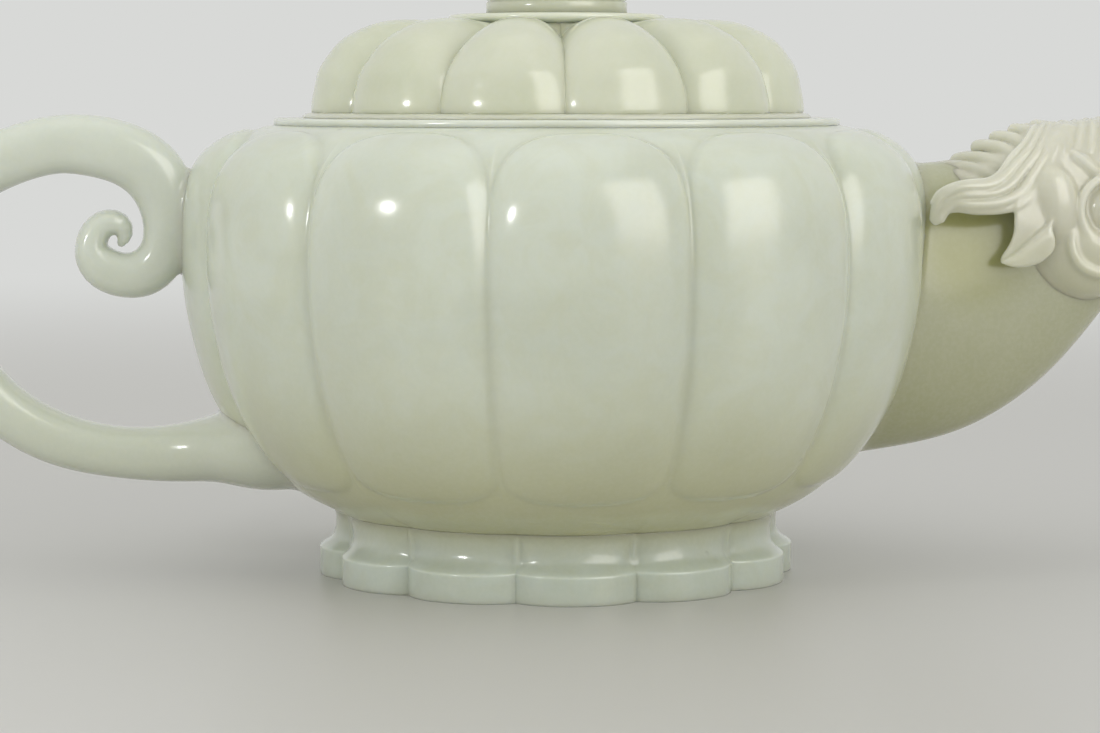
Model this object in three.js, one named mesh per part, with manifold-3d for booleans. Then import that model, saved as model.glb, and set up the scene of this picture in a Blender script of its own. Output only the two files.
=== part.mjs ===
// Carved nephrite teapot with a twelve-petal body, a scroll handle and a beast-head spout.
// Millimetres, +Z up. The origin is on the pot's axis, on the plane that the foot stands on.
// The spout points along +X and the handle along -X.

import * as THREE from 'three';
import { mergeVertices } from 'three/addons/utils/BufferGeometryUtils.js';
import Module from 'manifold-3d';

const wasm = await Module();
wasm.setup();

const lerp = THREE.MathUtils.lerp;
const fullTurn = 2 * Math.PI;

// Driving dimensions: the whole pot
const petalCount = 12;
const reach = 92;
const seatGap = 0.3;
const cutOverrun = 4;
const roundSegments = 36;
const hiddenSegments = 24;
const meridianSteps = 400;

// Driving dimensions: the petalled body
const bodyRadius = 52.9;
const seamDepth = 2.8;
const waistRadius = 31;
const footHeight = 9.2;
const shoulderHeight = 63.1;
const shoulderRadius = 39.9;
const girthHeight = 42;
const archLength = 14;
const archRise = 10.5;
const archBevelSlope = 0.34;
const petalToeLength = 16;
const petalToeRise = 6;
const toeBevelSlope = 0.9;
const ribHeight = 0.35;
const ribFadeLength = 4;
const wallThickness = 4;
const floorThickness = 4.2;

// Driving dimensions: the mouth and its collar
const mouthRadius = 30;
const collarRadius = 39.7;
const collarHeight = 1;
const collarEdge = 0.3;

// Driving dimensions: the scalloped foot
const footRadius = 33.6;
const footBandHeight = 4.3;
const footWall = 5;
const scallopDepth = 2.5;
const footNeckScallopDepth = 1.2;

// Driving dimensions: the tea holes between the body and the spout
const teaHoleRadius = 1.5;
const teaHolePitch = 4.6;
const teaHoleCount = 6;
const spoutBoreHeight = 33;

// Driving dimensions: the scroll handle
const handleThickness = 8;
const handleWidth = 8.6;
const handleTop = 60.5;
const handleFoot = 17.2;
const curlRadius = 3.2;

// Driving dimensions: the spout
const neckWidth = 21;
const neckTop = 58;
const neckSole = 16;
const neckFullnessShare = 0.92;
const spoutRise = 62;
const boreRadius = 4;
const boreRootHeight = 9;
const boreRootWidth = 6;

// Driving dimensions: the beast's head
const headTop = 64.6;
const jawHeight = 38.7;
const headWidth = 21.6;
const headFullnessShare = 0.7;
const cheekLength = 19;
const cheekWidth = 9;
const cheekHeight = 14.6;
const cheekSink = 3.3;
const eyeRadius = 3.6;
const eyeRingRadius = 5;
const eyeRingBar = 0.9;
const lockThickness = 2.8;
const earThickness = 1.4;
const maneWidth = 11;
const maneThickness = 2;
const manePitch = 2.1;
const maneRidge = 0.4;
const maneLengthShare = 0.95;

// Driving dimensions: the lid
const lidTurn = THREE.MathUtils.degToRad(12);
const lidRadius = 34.9;
const lidHeight = 13.7;
const lidSeamDepth = 2.4;
const lidWall = 3.6;
const lidCavityRadius = 26.4;
const lidBeadWidth = 0.8;
const lidBeadHeight = 0.8;
const ringClearance = 0.4;
const ringWall = 3;
const ringDepth = 6;
const discRadius = 15.2;
const discSeatRadius = 13.6;
const discHeight = 1.4;
const discSink = 0.7;
const stemRadius = 9.9;
const stemHeight = 2.6;
const stemGroove = 0.35;
const budRadius = 12.6;
const budHeight = 11;
const budSeamDepth = 1.1;

// The heights and radii that follow from them
const collarTop = shoulderHeight + collarHeight;
const lidTop = collarTop + lidHeight;
const stand = reach - bodyRadius;
const groundRadius = bodyRadius - seamDepth;
const discBottom = lidTop - discSink;
const discTop = discBottom + discHeight;
const budBottom = discTop + stemHeight;
const headHeight = headTop - jawHeight;
const halfPitch = Math.PI / petalCount;

function solidOf(geometry) {
  const bare = geometry.clone();
  bare.deleteAttribute('normal');
  bare.deleteAttribute('uv');
  const merged = mergeVertices(bare);
  return new wasm.Manifold(new wasm.Mesh({
    numProp: 3,
    vertProperties: new Float32Array(merged.attributes.position.array),
    triVerts: new Uint32Array(merged.index.array),
  }));
}

function geometryOf(solid) {
  const mesh = solid.getMesh();
  const geometry = new THREE.BufferGeometry();
  geometry.setAttribute('position', new THREE.BufferAttribute(new Float32Array(mesh.vertProperties), 3));
  geometry.setIndex(new THREE.BufferAttribute(new Uint32Array(mesh.triVerts), 1));
  return geometry;
}

function cut(geometry, ...tools) {
  return geometryOf(tools.reduce((solid, tool) => solid.subtract(solidOf(tool)), solidOf(geometry)));
}

function join(geometry, ...others) {
  return geometryOf(others.reduce((solid, other) => solid.add(solidOf(other)), solidOf(geometry)));
}

// One closed skin over a row of rings, each end closed by a fan about its ring's middle.
// The rings run counterclockwise, seen against the direction in which they follow each other.
function skinOver(rings) {
  const count = rings[0].length;
  const middleOf = (ring) => ring.reduce((sum, point) => sum.add(point), new THREE.Vector3())
    .divideScalar(count);
  const points = [...rings.flat(), middleOf(rings[0]), middleOf(rings[rings.length - 1])];
  const startPole = points.length - 2;
  const endPole = points.length - 1;
  const lastRow = (rings.length - 1) * count;
  const faces = [];
  for (let i = 0; i < count; i += 1) {
    const next = (i + 1) % count;
    for (let row = 0; row < lastRow; row += count) {
      faces.push(row + i, row + next, row + count + next);
      faces.push(row + i, row + count + next, row + count + i);
    }
    faces.push(startPole, next, i, endPole, lastRow + i, lastRow + next);
  }
  const geometry = new THREE.BufferGeometry();
  const positions = points.flatMap((point) => [point.x, point.y, point.z]);
  geometry.setAttribute('position', new THREE.Float32BufferAttribute(positions, 3));
  geometry.setIndex(faces);
  return geometry;
}

// A tapering sweep. Each station has a place and its half height and half width, and
// across is the direction that stays level in every section.
function sweep(stations, steps, sides, across = new THREE.Vector3(0, 1, 0), shape = () => 1) {
  const path = new THREE.CatmullRomCurve3(stations.map(([x, y, z]) => new THREE.Vector3(x, y, z)));
  const sizes = new THREE.CatmullRomCurve3(
    stations.map((station) => new THREE.Vector3(station[3], station[4], 0)));
  const rings = [];
  for (let step = 0; step <= steps; step += 1) {
    const share = step / steps;
    const middle = path.getPoint(share);
    const along = path.getTangent(share);
    const size = sizes.getPoint(share);
    const high = new THREE.Vector3().crossVectors(across, along).normalize();
    const wide = new THREE.Vector3().crossVectors(along, high).normalize();
    const ring = [];
    for (let side = 0; side < sides; side += 1) {
      const angle = fullTurn * side / sides;
      const swell = shape(share, angle);
      ring.push(middle.clone()
        .addScaledVector(high, size.x * Math.cos(angle) * swell)
        .addScaledVector(wide, size.y * Math.sin(angle) * swell));
    }
    rings.push(ring);
  }
  return skinOver(rings);
}

// A revolved solid about +Z from a profile of [radius, height] points, closed on itself or on the axis
function revolve(profile, segments) {
  const geometry = new THREE.LatheGeometry(profile.map(([r, z]) => new THREE.Vector2(r, z)), segments);
  geometry.rotateX(Math.PI / 2);
  return geometry;
}

function curveThrough(shares, innerRadius, outerRadius, low, high) {
  return new THREE.SplineCurve(shares.map(([r, z]) => new THREE.Vector2(
    lerp(innerRadius, outerRadius, r), lerp(low, high, z))));
}

// The body's two meridians, from the waist to the collar: along the crest of a petal, and
// along the ground that the petals rise from
const crestShares = [
  [0, 0], [0.2, 0.037], [0.406, 0.089], [0.612, 0.174], [0.8, 0.291], [0.927, 0.442], [0.99, 0.59],
  [1, 0.72], [0.967, 0.85], [0.872, 0.924], [0.7, 0.975], [0.53, 0.996],
];
const groundShares = [
  [0, 0], [0.205, 0.033], [0.393, 0.08], [0.618, 0.174], [0.806, 0.3], [0.937, 0.447], [0.995, 0.59],
  [1, 0.72], [0.963, 0.831], [0.885, 0.904], [0.743, 0.965], [0.592, 0.993],
];
const petalColumnShares = [-1, -0.95, -0.75, -0.4, 0, 0.4, 0.75, 0.95];
const petalRowShares = [
  0, 0.1, 0.15, 0.21, 0.29, 0.39, 0.51, 0.63, 0.74, 0.82, 0.88, 0.925, 0.965, 1,
];

// How high a petal stands over the ground at one place: a pillow between its seams, bevelled
// down outside an arch at the shoulder and outside a rounded toe above the foot
function petalLift(across, fromTop, fromWaist, pitch, depth) {
  const side = Math.abs(across);
  const arch = Math.max(0, (archLength - fromTop) / archRise);
  const toe = Math.max(0, (petalToeLength - fromWaist) / petalToeRise);
  const beyondArch = Math.max(0, Math.hypot(side ** 1.4, arch) - 1) * archRise;
  const beyondToe = Math.max(0, Math.hypot(side ** 1.6, toe) - 1) * petalToeRise;
  const pillow = depth * (1 - side ** 2.2);
  return Math.max(0, pillow - archBevelSlope * beyondArch - toeBevelSlope * beyondToe);
}

// The rib between two petals, which sinks into the ground at both ends
function ribLift(across, fromTop, fromWaist) {
  const inside = Math.min(fromTop - ribFadeLength, fromWaist - petalToeLength + petalToeRise);
  const fade = THREE.MathUtils.clamp(inside / ribFadeLength, 0, 1);
  return Math.abs(across) === 1 ? ribHeight * fade : 0;
}

// The petalled body as a filled solid, grown all round by the given margin
function bodyEnvelope(margin) {
  const crest = curveThrough(
    [...crestShares, [(shoulderRadius - waistRadius) / (bodyRadius - waistRadius), 1]],
    waistRadius, bodyRadius, footHeight, shoulderHeight);
  const ground = curveThrough(
    [...groundShares, [(shoulderRadius - waistRadius) / (groundRadius - waistRadius), 1]],
    waistRadius, groundRadius, footHeight, shoulderHeight);
  const meridianLength = ground.getLength();
  const lengths = ground.getLengths(meridianSteps);
  const rings = petalRowShares.map((share) => {
    const low = ground.getPoint(share);
    const rise = crest.getPoint(share).sub(low);
    const depth = rise.length();
    const outward = depth > 0 ? rise.clone().divideScalar(depth) : new THREE.Vector2(1, 0);
    const tangent = ground.getTangent(share);
    const normal = new THREE.Vector2(tangent.y, -tangent.x);
    const fromWaist = lengths[Math.round(share * meridianSteps)];
    const fromTop = meridianLength - fromWaist;
    const ring = [];
    for (let petal = 0; petal < petalCount; petal += 1) {
      petalColumnShares.forEach((across) => {
        const angle = halfPitch * (2 * petal + across);
        const lift = petalLift(across, fromTop, fromWaist, halfPitch * low.x, depth)
          + ribLift(across, fromTop, fromWaist);
        const place = low.clone().addScaledVector(outward, lift).addScaledVector(normal, margin);
        ring.push(new THREE.Vector3(
          place.x * Math.cos(angle), place.x * Math.sin(angle), place.y));
      });
    }
    return ring;
  });
  return skinOver(rings);
}

// The space for the tea: a round belly under a straight mouth
function teaCavity() {
  const bellyRadius = groundRadius - wallThickness;
  const floor = footHeight + floorThickness;
  const bellyShares = [[0.62, 0.02], [0.82, 0.13], [0.95, 0.33], [1, 0.6], [0.985, 0.8], [0.9, 0.91]];
  const rim = shoulderHeight - wallThickness / 2;
  const belly = bellyShares.map(([r, z]) => [bellyRadius * r, lerp(floor, rim, z)]);
  return revolve([
    [0, floor], ...belly, [mouthRadius, rim], [mouthRadius, shoulderHeight + cutOverrun],
    [0, shoulderHeight + cutOverrun],
  ], roundSegments);
}

// One tea hole in the middle and a ring of holes round it, drilled along the spout
function teaHoles() {
  const holes = [];
  for (let i = 0; i <= teaHoleCount; i += 1) {
    const off = i < teaHoleCount ? teaHolePitch : 0;
    const angle = fullTurn * i / teaHoleCount;
    const hole = new THREE.CylinderGeometry(teaHoleRadius, teaHoleRadius, bodyRadius, 8);
    hole.rotateZ(Math.PI / 2);
    hole.translate(bodyRadius, off * Math.sin(angle), spoutBoreHeight + off * Math.cos(angle));
    holes.push(hole);
  }
  return holes;
}

// A block between two heights that takes a whole slice of the belly away
function slab(low, high) {
  const width = 2 * (bodyRadius + cutOverrun);
  return new THREE.BoxGeometry(width, width, high - low).translate(0, 0, (low + high) / 2);
}

// The belly's stone. It is given as two bowls, mouth to mouth, that meet in a flat plane at the girth.
function bellyStone() {
  return cut(bodyEnvelope(0), teaCavity(), ...teaHoles());
}

function potBody() {
  return cut(bellyStone(), slab(girthHeight, shoulderHeight + cutOverrun));
}

function potShoulder() {
  return cut(bellyStone(), slab(footHeight - cutOverrun, girthHeight));
}

// The flat collar that the lid rests on
function mouthCollar() {
  return revolve([
    [mouthRadius, shoulderHeight], [collarRadius, shoulderHeight], [collarRadius, collarTop - collarEdge],
    [collarRadius - collarEdge, collarTop], [mouthRadius, collarTop], [mouthRadius, shoulderHeight],
  ], roundSegments);
}

// The foot: a scalloped ring with a hollow flare above an upright band
function footRing() {
  const flareShares = [[1, 0], [1, 0.95], [0.97, 1.02], [0.62, 1.15], [0.3, 1.36], [0.1, 1.65], [0, 2.14]];
  const columnShares = [-1, -0.9, -0.45, 0, 0.45, 0.9];
  const heightOf = (share) => Math.min(share * footBandHeight, footHeight);
  const rings = flareShares.map(([r, z]) => {
    const radius = lerp(waistRadius, footRadius, r);
    const depth = lerp(footNeckScallopDepth, scallopDepth, r);
    const ring = [];
    for (let petal = 0; petal < petalCount; petal += 1) {
      columnShares.forEach((across) => {
        const angle = halfPitch * (2 * petal + across);
        const out = radius - depth * Math.abs(across) ** 2.4;
        ring.push(new THREE.Vector3(out * Math.cos(angle), out * Math.sin(angle), heightOf(z)));
      });
    }
    return ring;
  });
  const inside = footRadius - footWall;
  const hollow = revolve([
    [0, -cutOverrun], [inside, -cutOverrun],
    [inside, footHeight + cutOverrun], [0, footHeight + cutOverrun],
  ], roundSegments);
  return cut(skinOver(rings), hollow);
}

// The handle: a curl against the belly, an arch, an open loop and a fanned root under the belly.
// Each station has its place and its half thickness and half width.
function handle() {
  const outFrom = (share) => -(bodyRadius + stand * share);
  const heightAt = (share) => lerp(handleFoot, handleTop, share);
  const thick = handleThickness / 2;
  const wide = handleWidth / 2;
  const curlShares = [
    [0.007, 0, 0.225, 0.4], [0.033, 0.38, 0.375, 0.5], [0.111, 0.6, 0.4, 0.6], [0.267, 0.88, 0.4, 0.66],
    [0.389, 0.96, 0.44, 0.7], [0.5, 1, 0.55, 0.74], [0.589, 1.1, 0.575, 0.78], [0.68, 1.24, 0.6, 0.82],
    [0.786, 1.55, 0.775, 0.85], [0.875, 1.95, 0.825, 0.9], [0.958, 2.22, 0.825, 0.95],
  ];
  const curlMiddle = [outFrom(0.237), heightAt(0.69)];
  const curl = curlShares.map(([turn, radius, half, width]) => {
    const angle = fullTurn * turn;
    const out = curlRadius * radius;
    return [
      curlMiddle[0] + out * Math.cos(angle), 0, curlMiddle[1] + out * Math.sin(angle),
      thick * half, wide * width,
    ];
  });
  const archShares = [
    [0.046, 0.73, 0.84, 1], [0.052, 0.83, 1.02, 1], [0.105, 0.915, 1.1, 1], [0.193, 0.967, 1.09, 1],
    [0.314, 0.995, 1.06, 1], [0.413, 1, 1.02, 1], [0.524, 0.982, 1, 1],
  ];
  const arch = archShares.map(([x, z, half, width]) => [
    outFrom(x), 0, heightAt(z), thick * half, wide * width,
  ]);
  const loopShares = [
    [0.702, 0.916], [0.79, 0.862], [0.86, 0.775], [0.893, 0.66], [0.885, 0.53], [0.84, 0.4], [0.762, 0.283],
  ];
  const loop = loopShares.map(([x, z], index) => [
    outFrom(x), 0, heightAt(z), thick * lerp(1, 0.93, index / (loopShares.length - 1)), wide,
  ]);
  const rootShares = [
    [0.647, 0.163, 0.92, 1], [0.463, 0.058, 0.92, 1], [0.198, 0.002, 0.9, 1.02], [0.022, 0, 1, 1.2],
    [-0.143, 0.015, 1.2, 1.8], [-0.298, 0.03, 1.6, 2.7], [-0.441, 0.06, 1.8, 2.9],
  ];
  const root = rootShares.map(([x, z, half, width]) => [
    outFrom(x), 0, heightAt(z), thick * half, wide * width,
  ]);
  const stations = [...curl, ...arch, ...loop, ...root];
  return cut(sweep(stations, 60, 10), bodyEnvelope(seatGap));
}

const fuller = (value, fullness) => Math.sign(value) * Math.abs(value) ** fullness;

// A loft of tall ovals. Each row has the places of its lower and its upper end along x and z,
// and its half width, and every section stands upright across the pot's middle plane.
function ovalLoft(rows, steps, sides, margin, fullness) {
  const lower = new THREE.CatmullRomCurve3(rows.map((row) => new THREE.Vector3(row[0], 0, row[1])));
  const upper = new THREE.CatmullRomCurve3(rows.map((row) => new THREE.Vector3(row[2], 0, row[3])));
  const widths = new THREE.CatmullRomCurve3(rows.map((row) => new THREE.Vector3(0, row[4], 0)));
  const rings = [];
  for (let step = 0; step <= steps; step += 1) {
    const share = step / steps;
    const low = lower.getPoint(share);
    const high = upper.getPoint(share);
    const half = high.clone().sub(low).divideScalar(2);
    const tall = half.length() + margin;
    const wide = widths.getPoint(share).y + margin;
    const middle = low.add(half);
    half.normalize();
    const ring = [];
    for (let side = 0; side < sides; side += 1) {
      const angle = fullTurn * side / sides;
      const point = middle.clone().addScaledVector(half, -tall * fuller(Math.cos(angle), fullness));
      ring.push(point.setY(wide * fuller(Math.sin(angle), fullness)));
    }
    rings.push(ring);
  }
  return skinOver(rings);
}

// The spout's neck: a tall breast that leaves the belly and rises into the head
const neckShares = [
  [-0.331, 0, -0.331, 0.976, 1.06], [-0.061, 0.036, -0.099, 0.988, 1], [0.13, 0.083, 0.028, 0.995, 0.94],
  [0.335, 0.186, 0.143, 1, 0.88], [0.498, 0.319, 0.276, 1, 0.84], [0.628, 0.464, 0.408, 0.99, 0.8],
  [0.705, 0.56, 0.518, 0.95, 0.76],
];

function neckEnvelope(margin) {
  const rows = neckShares.map(([soleX, soleZ, backX, backZ, width]) => [
    bodyRadius + stand * soleX, lerp(neckSole, neckTop, soleZ),
    bodyRadius + stand * backX + margin, lerp(neckSole, neckTop, backZ), neckWidth / 2 * width,
  ]);
  return ovalLoft(rows, 10, 18, margin, neckFullnessShare);
}

// The drilled way through the neck and the head, tall at the belly and round at the lip
const boreShares = [
  [-0.22, -0.01, 1, 1], [0.055, 0.05, 0.86, 0.86], [0.276, 0.17, 0.55, 0.6], [0.474, 0.35, 0.28, 0.36],
  [0.656, 0.56, 0.1, 0.12], [0.794, 0.75, 0.02, 0], [0.914, 0.88, 0, 0], [1.103, 1.06, 0, 0],
];

function spoutBore() {
  const rise = spoutRise - spoutBoreHeight;
  return sweep(boreShares.map(([x, z, high, wide]) => [
    bodyRadius + stand * x, 0, spoutBoreHeight + rise * z,
    lerp(boreRadius, boreRootHeight, high), lerp(boreRadius, boreRootWidth, wide),
  ]), 14, 10);
}

function spoutNeck() {
  return cut(neckEnvelope(0), bodyEnvelope(seatGap), spoutBore());
}

// The head, from the nape to the blunt muzzle
const headShares = [
  [0.297, 0.32, 0.283, 0.78, 0.5], [0.36, 0.166, 0.335, 0.86, 0.82], [0.45, 0.062, 0.412, 0.895, 0.96],
  [0.578, 0.023, 0.527, 0.905, 1], [0.701, 0.035, 0.651, 0.925, 0.98], [0.811, 0.166, 0.74, 0.96, 0.9],
  [0.9, 0.332, 0.831, 1.0, 0.78], [0.966, 0.486, 0.911, 1.05, 0.68], [1, 0.575, 0.96, 1.085, 0.64],
];

function headEnvelope(margin) {
  const rows = headShares.map(([jawX, jawZ, crownX, crownZ, width]) => [
    bodyRadius + stand * jawX, lerp(jawHeight, headTop, jawZ),
    bodyRadius + stand * crownX, lerp(jawHeight, headTop, crownZ), headWidth / 2 * width,
  ]);
  return ovalLoft(rows, 12, 20, margin, headFullnessShare);
}

const eyePlace = new THREE.Vector3(
  lerp(bodyRadius, reach, 0.629), headWidth / 2, lerp(jawHeight, headTop, 0.49));
const cheekPlace = new THREE.Vector3(
  lerp(bodyRadius, reach, 0.552), headWidth / 2 - cheekSink, jawHeight + cheekHeight / 2);

// The full cheek, the bulging eye and the ring round its socket, on the side given by +1 or -1
function cheekForms(side) {
  const cheek = new THREE.SphereGeometry(1, 14, 8);
  cheek.scale(cheekLength / 2, cheekWidth / 2, cheekHeight / 2);
  cheek.translate(cheekPlace.x, side * cheekPlace.y, cheekPlace.z);
  const ball = new THREE.SphereGeometry(eyeRadius, 10, 6);
  ball.scale(1, 0.5, 1);
  const ring = new THREE.TorusGeometry(eyeRingRadius, eyeRingBar, 5, 16);
  ring.rotateX(Math.PI / 2);
  [ball, ring].forEach((form) => {
    form.translate(eyePlace.x, side * (eyePlace.y - eyeRingBar), eyePlace.z);
  });
  return [cheek, ball, ring];
}

function beastHead() {
  const forms = [...cheekForms(1), ...cheekForms(-1)];
  return cut(join(headEnvelope(0), ...forms), neckEnvelope(seatGap), spoutBore());
}

// The mane over the nape: a band of combed ridges from the belly's shoulder to the brow
const maneShares = [
  [-0.044, 0.61, 0.7], [0.099, 0.69, 0.8], [0.171, 0.757, 0.88], [0.24, 0.811, 0.95], [0.309, 0.857, 1],
  [0.389, 0.884, 1.05], [0.504, 0.893, 1.1], [0.639, 0.907, 1.05], [0.742, 0.93, 0.85], [0.828, 0.95, 0.5],
];

function mane() {
  const ridges = Math.round(stand * maneLengthShare / manePitch);
  const combed = (share, angle) => {
    const ridge = 0.5 - 0.5 * Math.cos(fullTurn * share * ridges);
    return 1 + maneRidge / maneThickness * ridge * Math.max(0, -Math.cos(angle));
  };
  const stations = maneShares.map(([x, z, width]) => [
    bodyRadius + stand * x, 0, lerp(jawHeight, headTop, z), maneThickness, maneWidth / 2 * width,
  ]);
  const band = sweep(stations, 2 * ridges, 8, new THREE.Vector3(0, 1, 0), combed);
  return cut(band, headEnvelope(seatGap), neckEnvelope(seatGap), bodyEnvelope(seatGap));
}

// One lock of hair, which leaves the crown, clears the neck and comes to rest on the belly
const lockShares = [
  [0.573, 0.8, 0.87, 0.1], [0.43, 0.97, 0.8, 0.14], [0.298, 1.06, 0.65, 0.125],
  [0.157, 1.08, 0.567, 0.108], [0.044, 1.04, 0.567, 0.085], [-0.033, 1, 0.505, 0.11],
  [-0.099, 0.94, 0.43, 0.11],
];
const lockStrands = 8;
const strandSwellShare = 0.1;

function hairLock(side) {
  const strands = (share, angle) => 1 + strandSwellShare * Math.cos(lockStrands * angle);
  const lock = sweep(lockShares.map(([x, y, z, half]) => [
    bodyRadius + stand * x, side * headWidth / 2 * y, lerp(jawHeight, headTop, z),
    headHeight * half, lockThickness / 2,
  ]), 12, 2 * lockStrands, new THREE.Vector3(0, 1, 0), strands);
  return cut(lock, headEnvelope(seatGap), neckEnvelope(seatGap), bodyEnvelope(seatGap));
}

// One leaf-shaped ear, which hangs back from the cheek
const earShares = [
  [0.325, 1.02, 0.5, 0.07], [0.328, 1.07, 0.43, 0.105], [0.325, 1.1, 0.34, 0.12],
  [0.298, 1.13, 0.262, 0.095], [0.251, 1.15, 0.215, 0.055], [0.212, 1.15, 0.2, 0.012],
];

function ear(side) {
  const leaf = sweep(earShares.map(([x, y, z, half]) => [
    bodyRadius + stand * x, side * headWidth / 2 * y, lerp(jawHeight, headTop, z),
    headHeight * half, earThickness / 2,
  ]), 12, 10);
  return cut(leaf, headEnvelope(seatGap), neckEnvelope(seatGap));
}

// The lid's two meridians, from its rim to the disc: along a lobe's crest and along a seam
const lidCrestShares = [
  [1, 0], [1, 0.14], [0.99, 0.285], [0.971, 0.49], [0.934, 0.642], [0.891, 0.774], [0.817, 0.89],
  [0.742, 0.964], [0.66, 0.997], [0.573, 1], [0.487, 0.98],
];
const lidSeamShares = [
  [1, 0], [1, 0.14], [0.986, 0.277], [0.952, 0.443], [0.903, 0.565], [0.848, 0.65], [0.778, 0.72], [0.706, 0.762],
  [0.632, 0.782], [0.56, 0.788], [0.49, 0.803],
];

function lidDome() {
  const seatShare = (discBottom - collarTop) / lidHeight;
  const seamRadius = lidRadius - lidSeamDepth;
  const crest = curveThrough(
    [...lidCrestShares, [discSeatRadius / lidRadius, seatShare]], 0, lidRadius, collarTop, lidTop);
  const seam = curveThrough(
    [...lidSeamShares, [discSeatRadius / seamRadius, seatShare]], 0, seamRadius, collarTop, lidTop);
  const columnShares = [-1, -0.9, -0.5, 0, 0.5, 0.9];
  const rowShares = [0, 0.1, 0.22, 0.36, 0.52, 0.7, 0.86, 1];
  const rings = rowShares.map((share) => {
    const low = seam.getPoint(share);
    const high = crest.getPoint(share);
    const ring = [];
    for (let lobe = 0; lobe < petalCount; lobe += 1) {
      columnShares.forEach((across) => {
        const angle = lidTurn + halfPitch * (2 * lobe + across);
        const place = low.clone().lerp(high, (1 - Math.abs(across) ** 2.2) ** 0.85);
        ring.push(new THREE.Vector3(
          place.x * Math.cos(angle), place.x * Math.sin(angle), place.y));
      });
    }
    return ring;
  });
  const beadRadius = lidRadius + lidBeadWidth;
  const bead = revolve([
    [0, collarTop], [beadRadius, collarTop], [beadRadius, collarTop + lidBeadHeight / 2],
    [seamRadius, collarTop + lidBeadHeight], [0, collarTop + lidBeadHeight],
  ], roundSegments);
  const hollowShares = [[1, 0], [0.97, 0.35], [0.86, 0.65], [0.65, 0.88], [0.35, 0.98], [0, 1]];
  const cavityHeight = discBottom - collarTop - lidWall;
  const hollow = revolve([
    [0, collarTop - cutOverrun], [lidCavityRadius, collarTop - cutOverrun],
    ...hollowShares.map(([r, z]) => [lidCavityRadius * r, collarTop + cavityHeight * z]),
  ], hiddenSegments);
  return cut(join(skinOver(rings), bead), hollow);
}

// The ring under the lid that drops into the mouth and keeps the lid from sliding off
function locatingRing() {
  const outer = mouthRadius - ringClearance;
  const inner = outer - ringWall;
  return revolve([
    [inner, collarTop - ringDepth], [outer, collarTop - ringDepth], [outer, collarTop], [inner, collarTop],
    [inner, collarTop - ringDepth],
  ], roundSegments);
}

function lidDisc() {
  return revolve([
    [0, discBottom], [discSeatRadius, discBottom], [discRadius, discTop - collarEdge],
    [discRadius - collarEdge, discTop], [0, discTop],
  ], roundSegments);
}

function knobStem() {
  const groove = lerp(discTop, budBottom, 0.72);
  return revolve([
    [0, discTop], [stemRadius, discTop], [stemRadius, groove - stemGroove],
    [stemRadius - stemGroove, groove], [stemRadius, groove + stemGroove],
    [stemRadius, budBottom], [0, budBottom],
  ], roundSegments);
}

// The bud on top: twelve shallow lobes, drawn in to a small point
function knobBud() {
  const profileShares = [
    [0.76, 0], [0.93, 0.08], [1, 0.27], [0.96, 0.5], [0.8, 0.72], [0.5, 0.9], [0.14, 1],
  ];
  const columnShares = [-1, -0.5, 0, 0.5];
  const rings = profileShares.map(([r, z]) => {
    const ring = [];
    for (let lobe = 0; lobe < petalCount; lobe += 1) {
      columnShares.forEach((across) => {
        const angle = lidTurn + halfPitch * (2 * lobe + across);
        const fade = Math.min(1, r, 4 * z);
        const out = budRadius * r - budSeamDepth * fade * across * across;
        ring.push(new THREE.Vector3(
          out * Math.cos(angle), out * Math.sin(angle), budBottom + budHeight * z));
      });
    }
    return ring;
  });
  return skinOver(rings);
}

const jadeColours = {
  pot: 0xcfd5bf, foot: 0xc3ccbd, handle: 0xc7cfbd, spout: 0xc0c6a8, hair: 0xd2cdb8, lid: 0xcdd3bb,
};

function jade(tone) {
  return new THREE.MeshStandardMaterial({ color: jadeColours[tone], roughness: 0.22, metalness: 0 });
}

function piece(name, geometry, tone) {
  const shown = geometry.index ? geometry.toNonIndexed() : geometry;
  shown.computeVertexNormals();
  const mesh = new THREE.Mesh(shown, jade(tone));
  mesh.name = name;
  return mesh;
}

const pot = new THREE.Group();
pot.name = 'pot';
pot.add(
  piece('pot_body', potBody(), 'pot'),
  piece('pot_shoulder', potShoulder(), 'pot'),
  piece('mouth_collar', mouthCollar(), 'pot'),
  piece('foot_ring', footRing(), 'foot'),
  piece('handle', handle(), 'handle'),
  piece('spout_neck', spoutNeck(), 'spout'),
  piece('beast_head', beastHead(), 'hair'),
  piece('mane', mane(), 'hair'),
  piece('hair_lock_left', hairLock(1), 'hair'),
  piece('hair_lock_right', hairLock(-1), 'hair'),
  piece('ear_left', ear(1), 'hair'),
  piece('ear_right', ear(-1), 'hair'),
);

const lid = new THREE.Group();
lid.name = 'lid';
lid.add(
  piece('lid_dome', lidDome(), 'lid'),
  piece('lid_locating_ring', locatingRing(), 'lid'),
  piece('lid_disc', lidDisc(), 'lid'),
  piece('knob_stem', knobStem(), 'lid'),
  piece('knob_bud', knobBud(), 'lid'),
);

const teapot = new THREE.Group();
teapot.name = 'teapot';
teapot.add(pot, lid);

export default teapot;
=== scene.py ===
# A carved jade teapot: a twelve-petal pot on a scalloped foot, with a scroll handle, a spout
# that ends in a beast's head, and a lobed lid. Lengths are millimetres until a mesh is made.
import math

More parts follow.
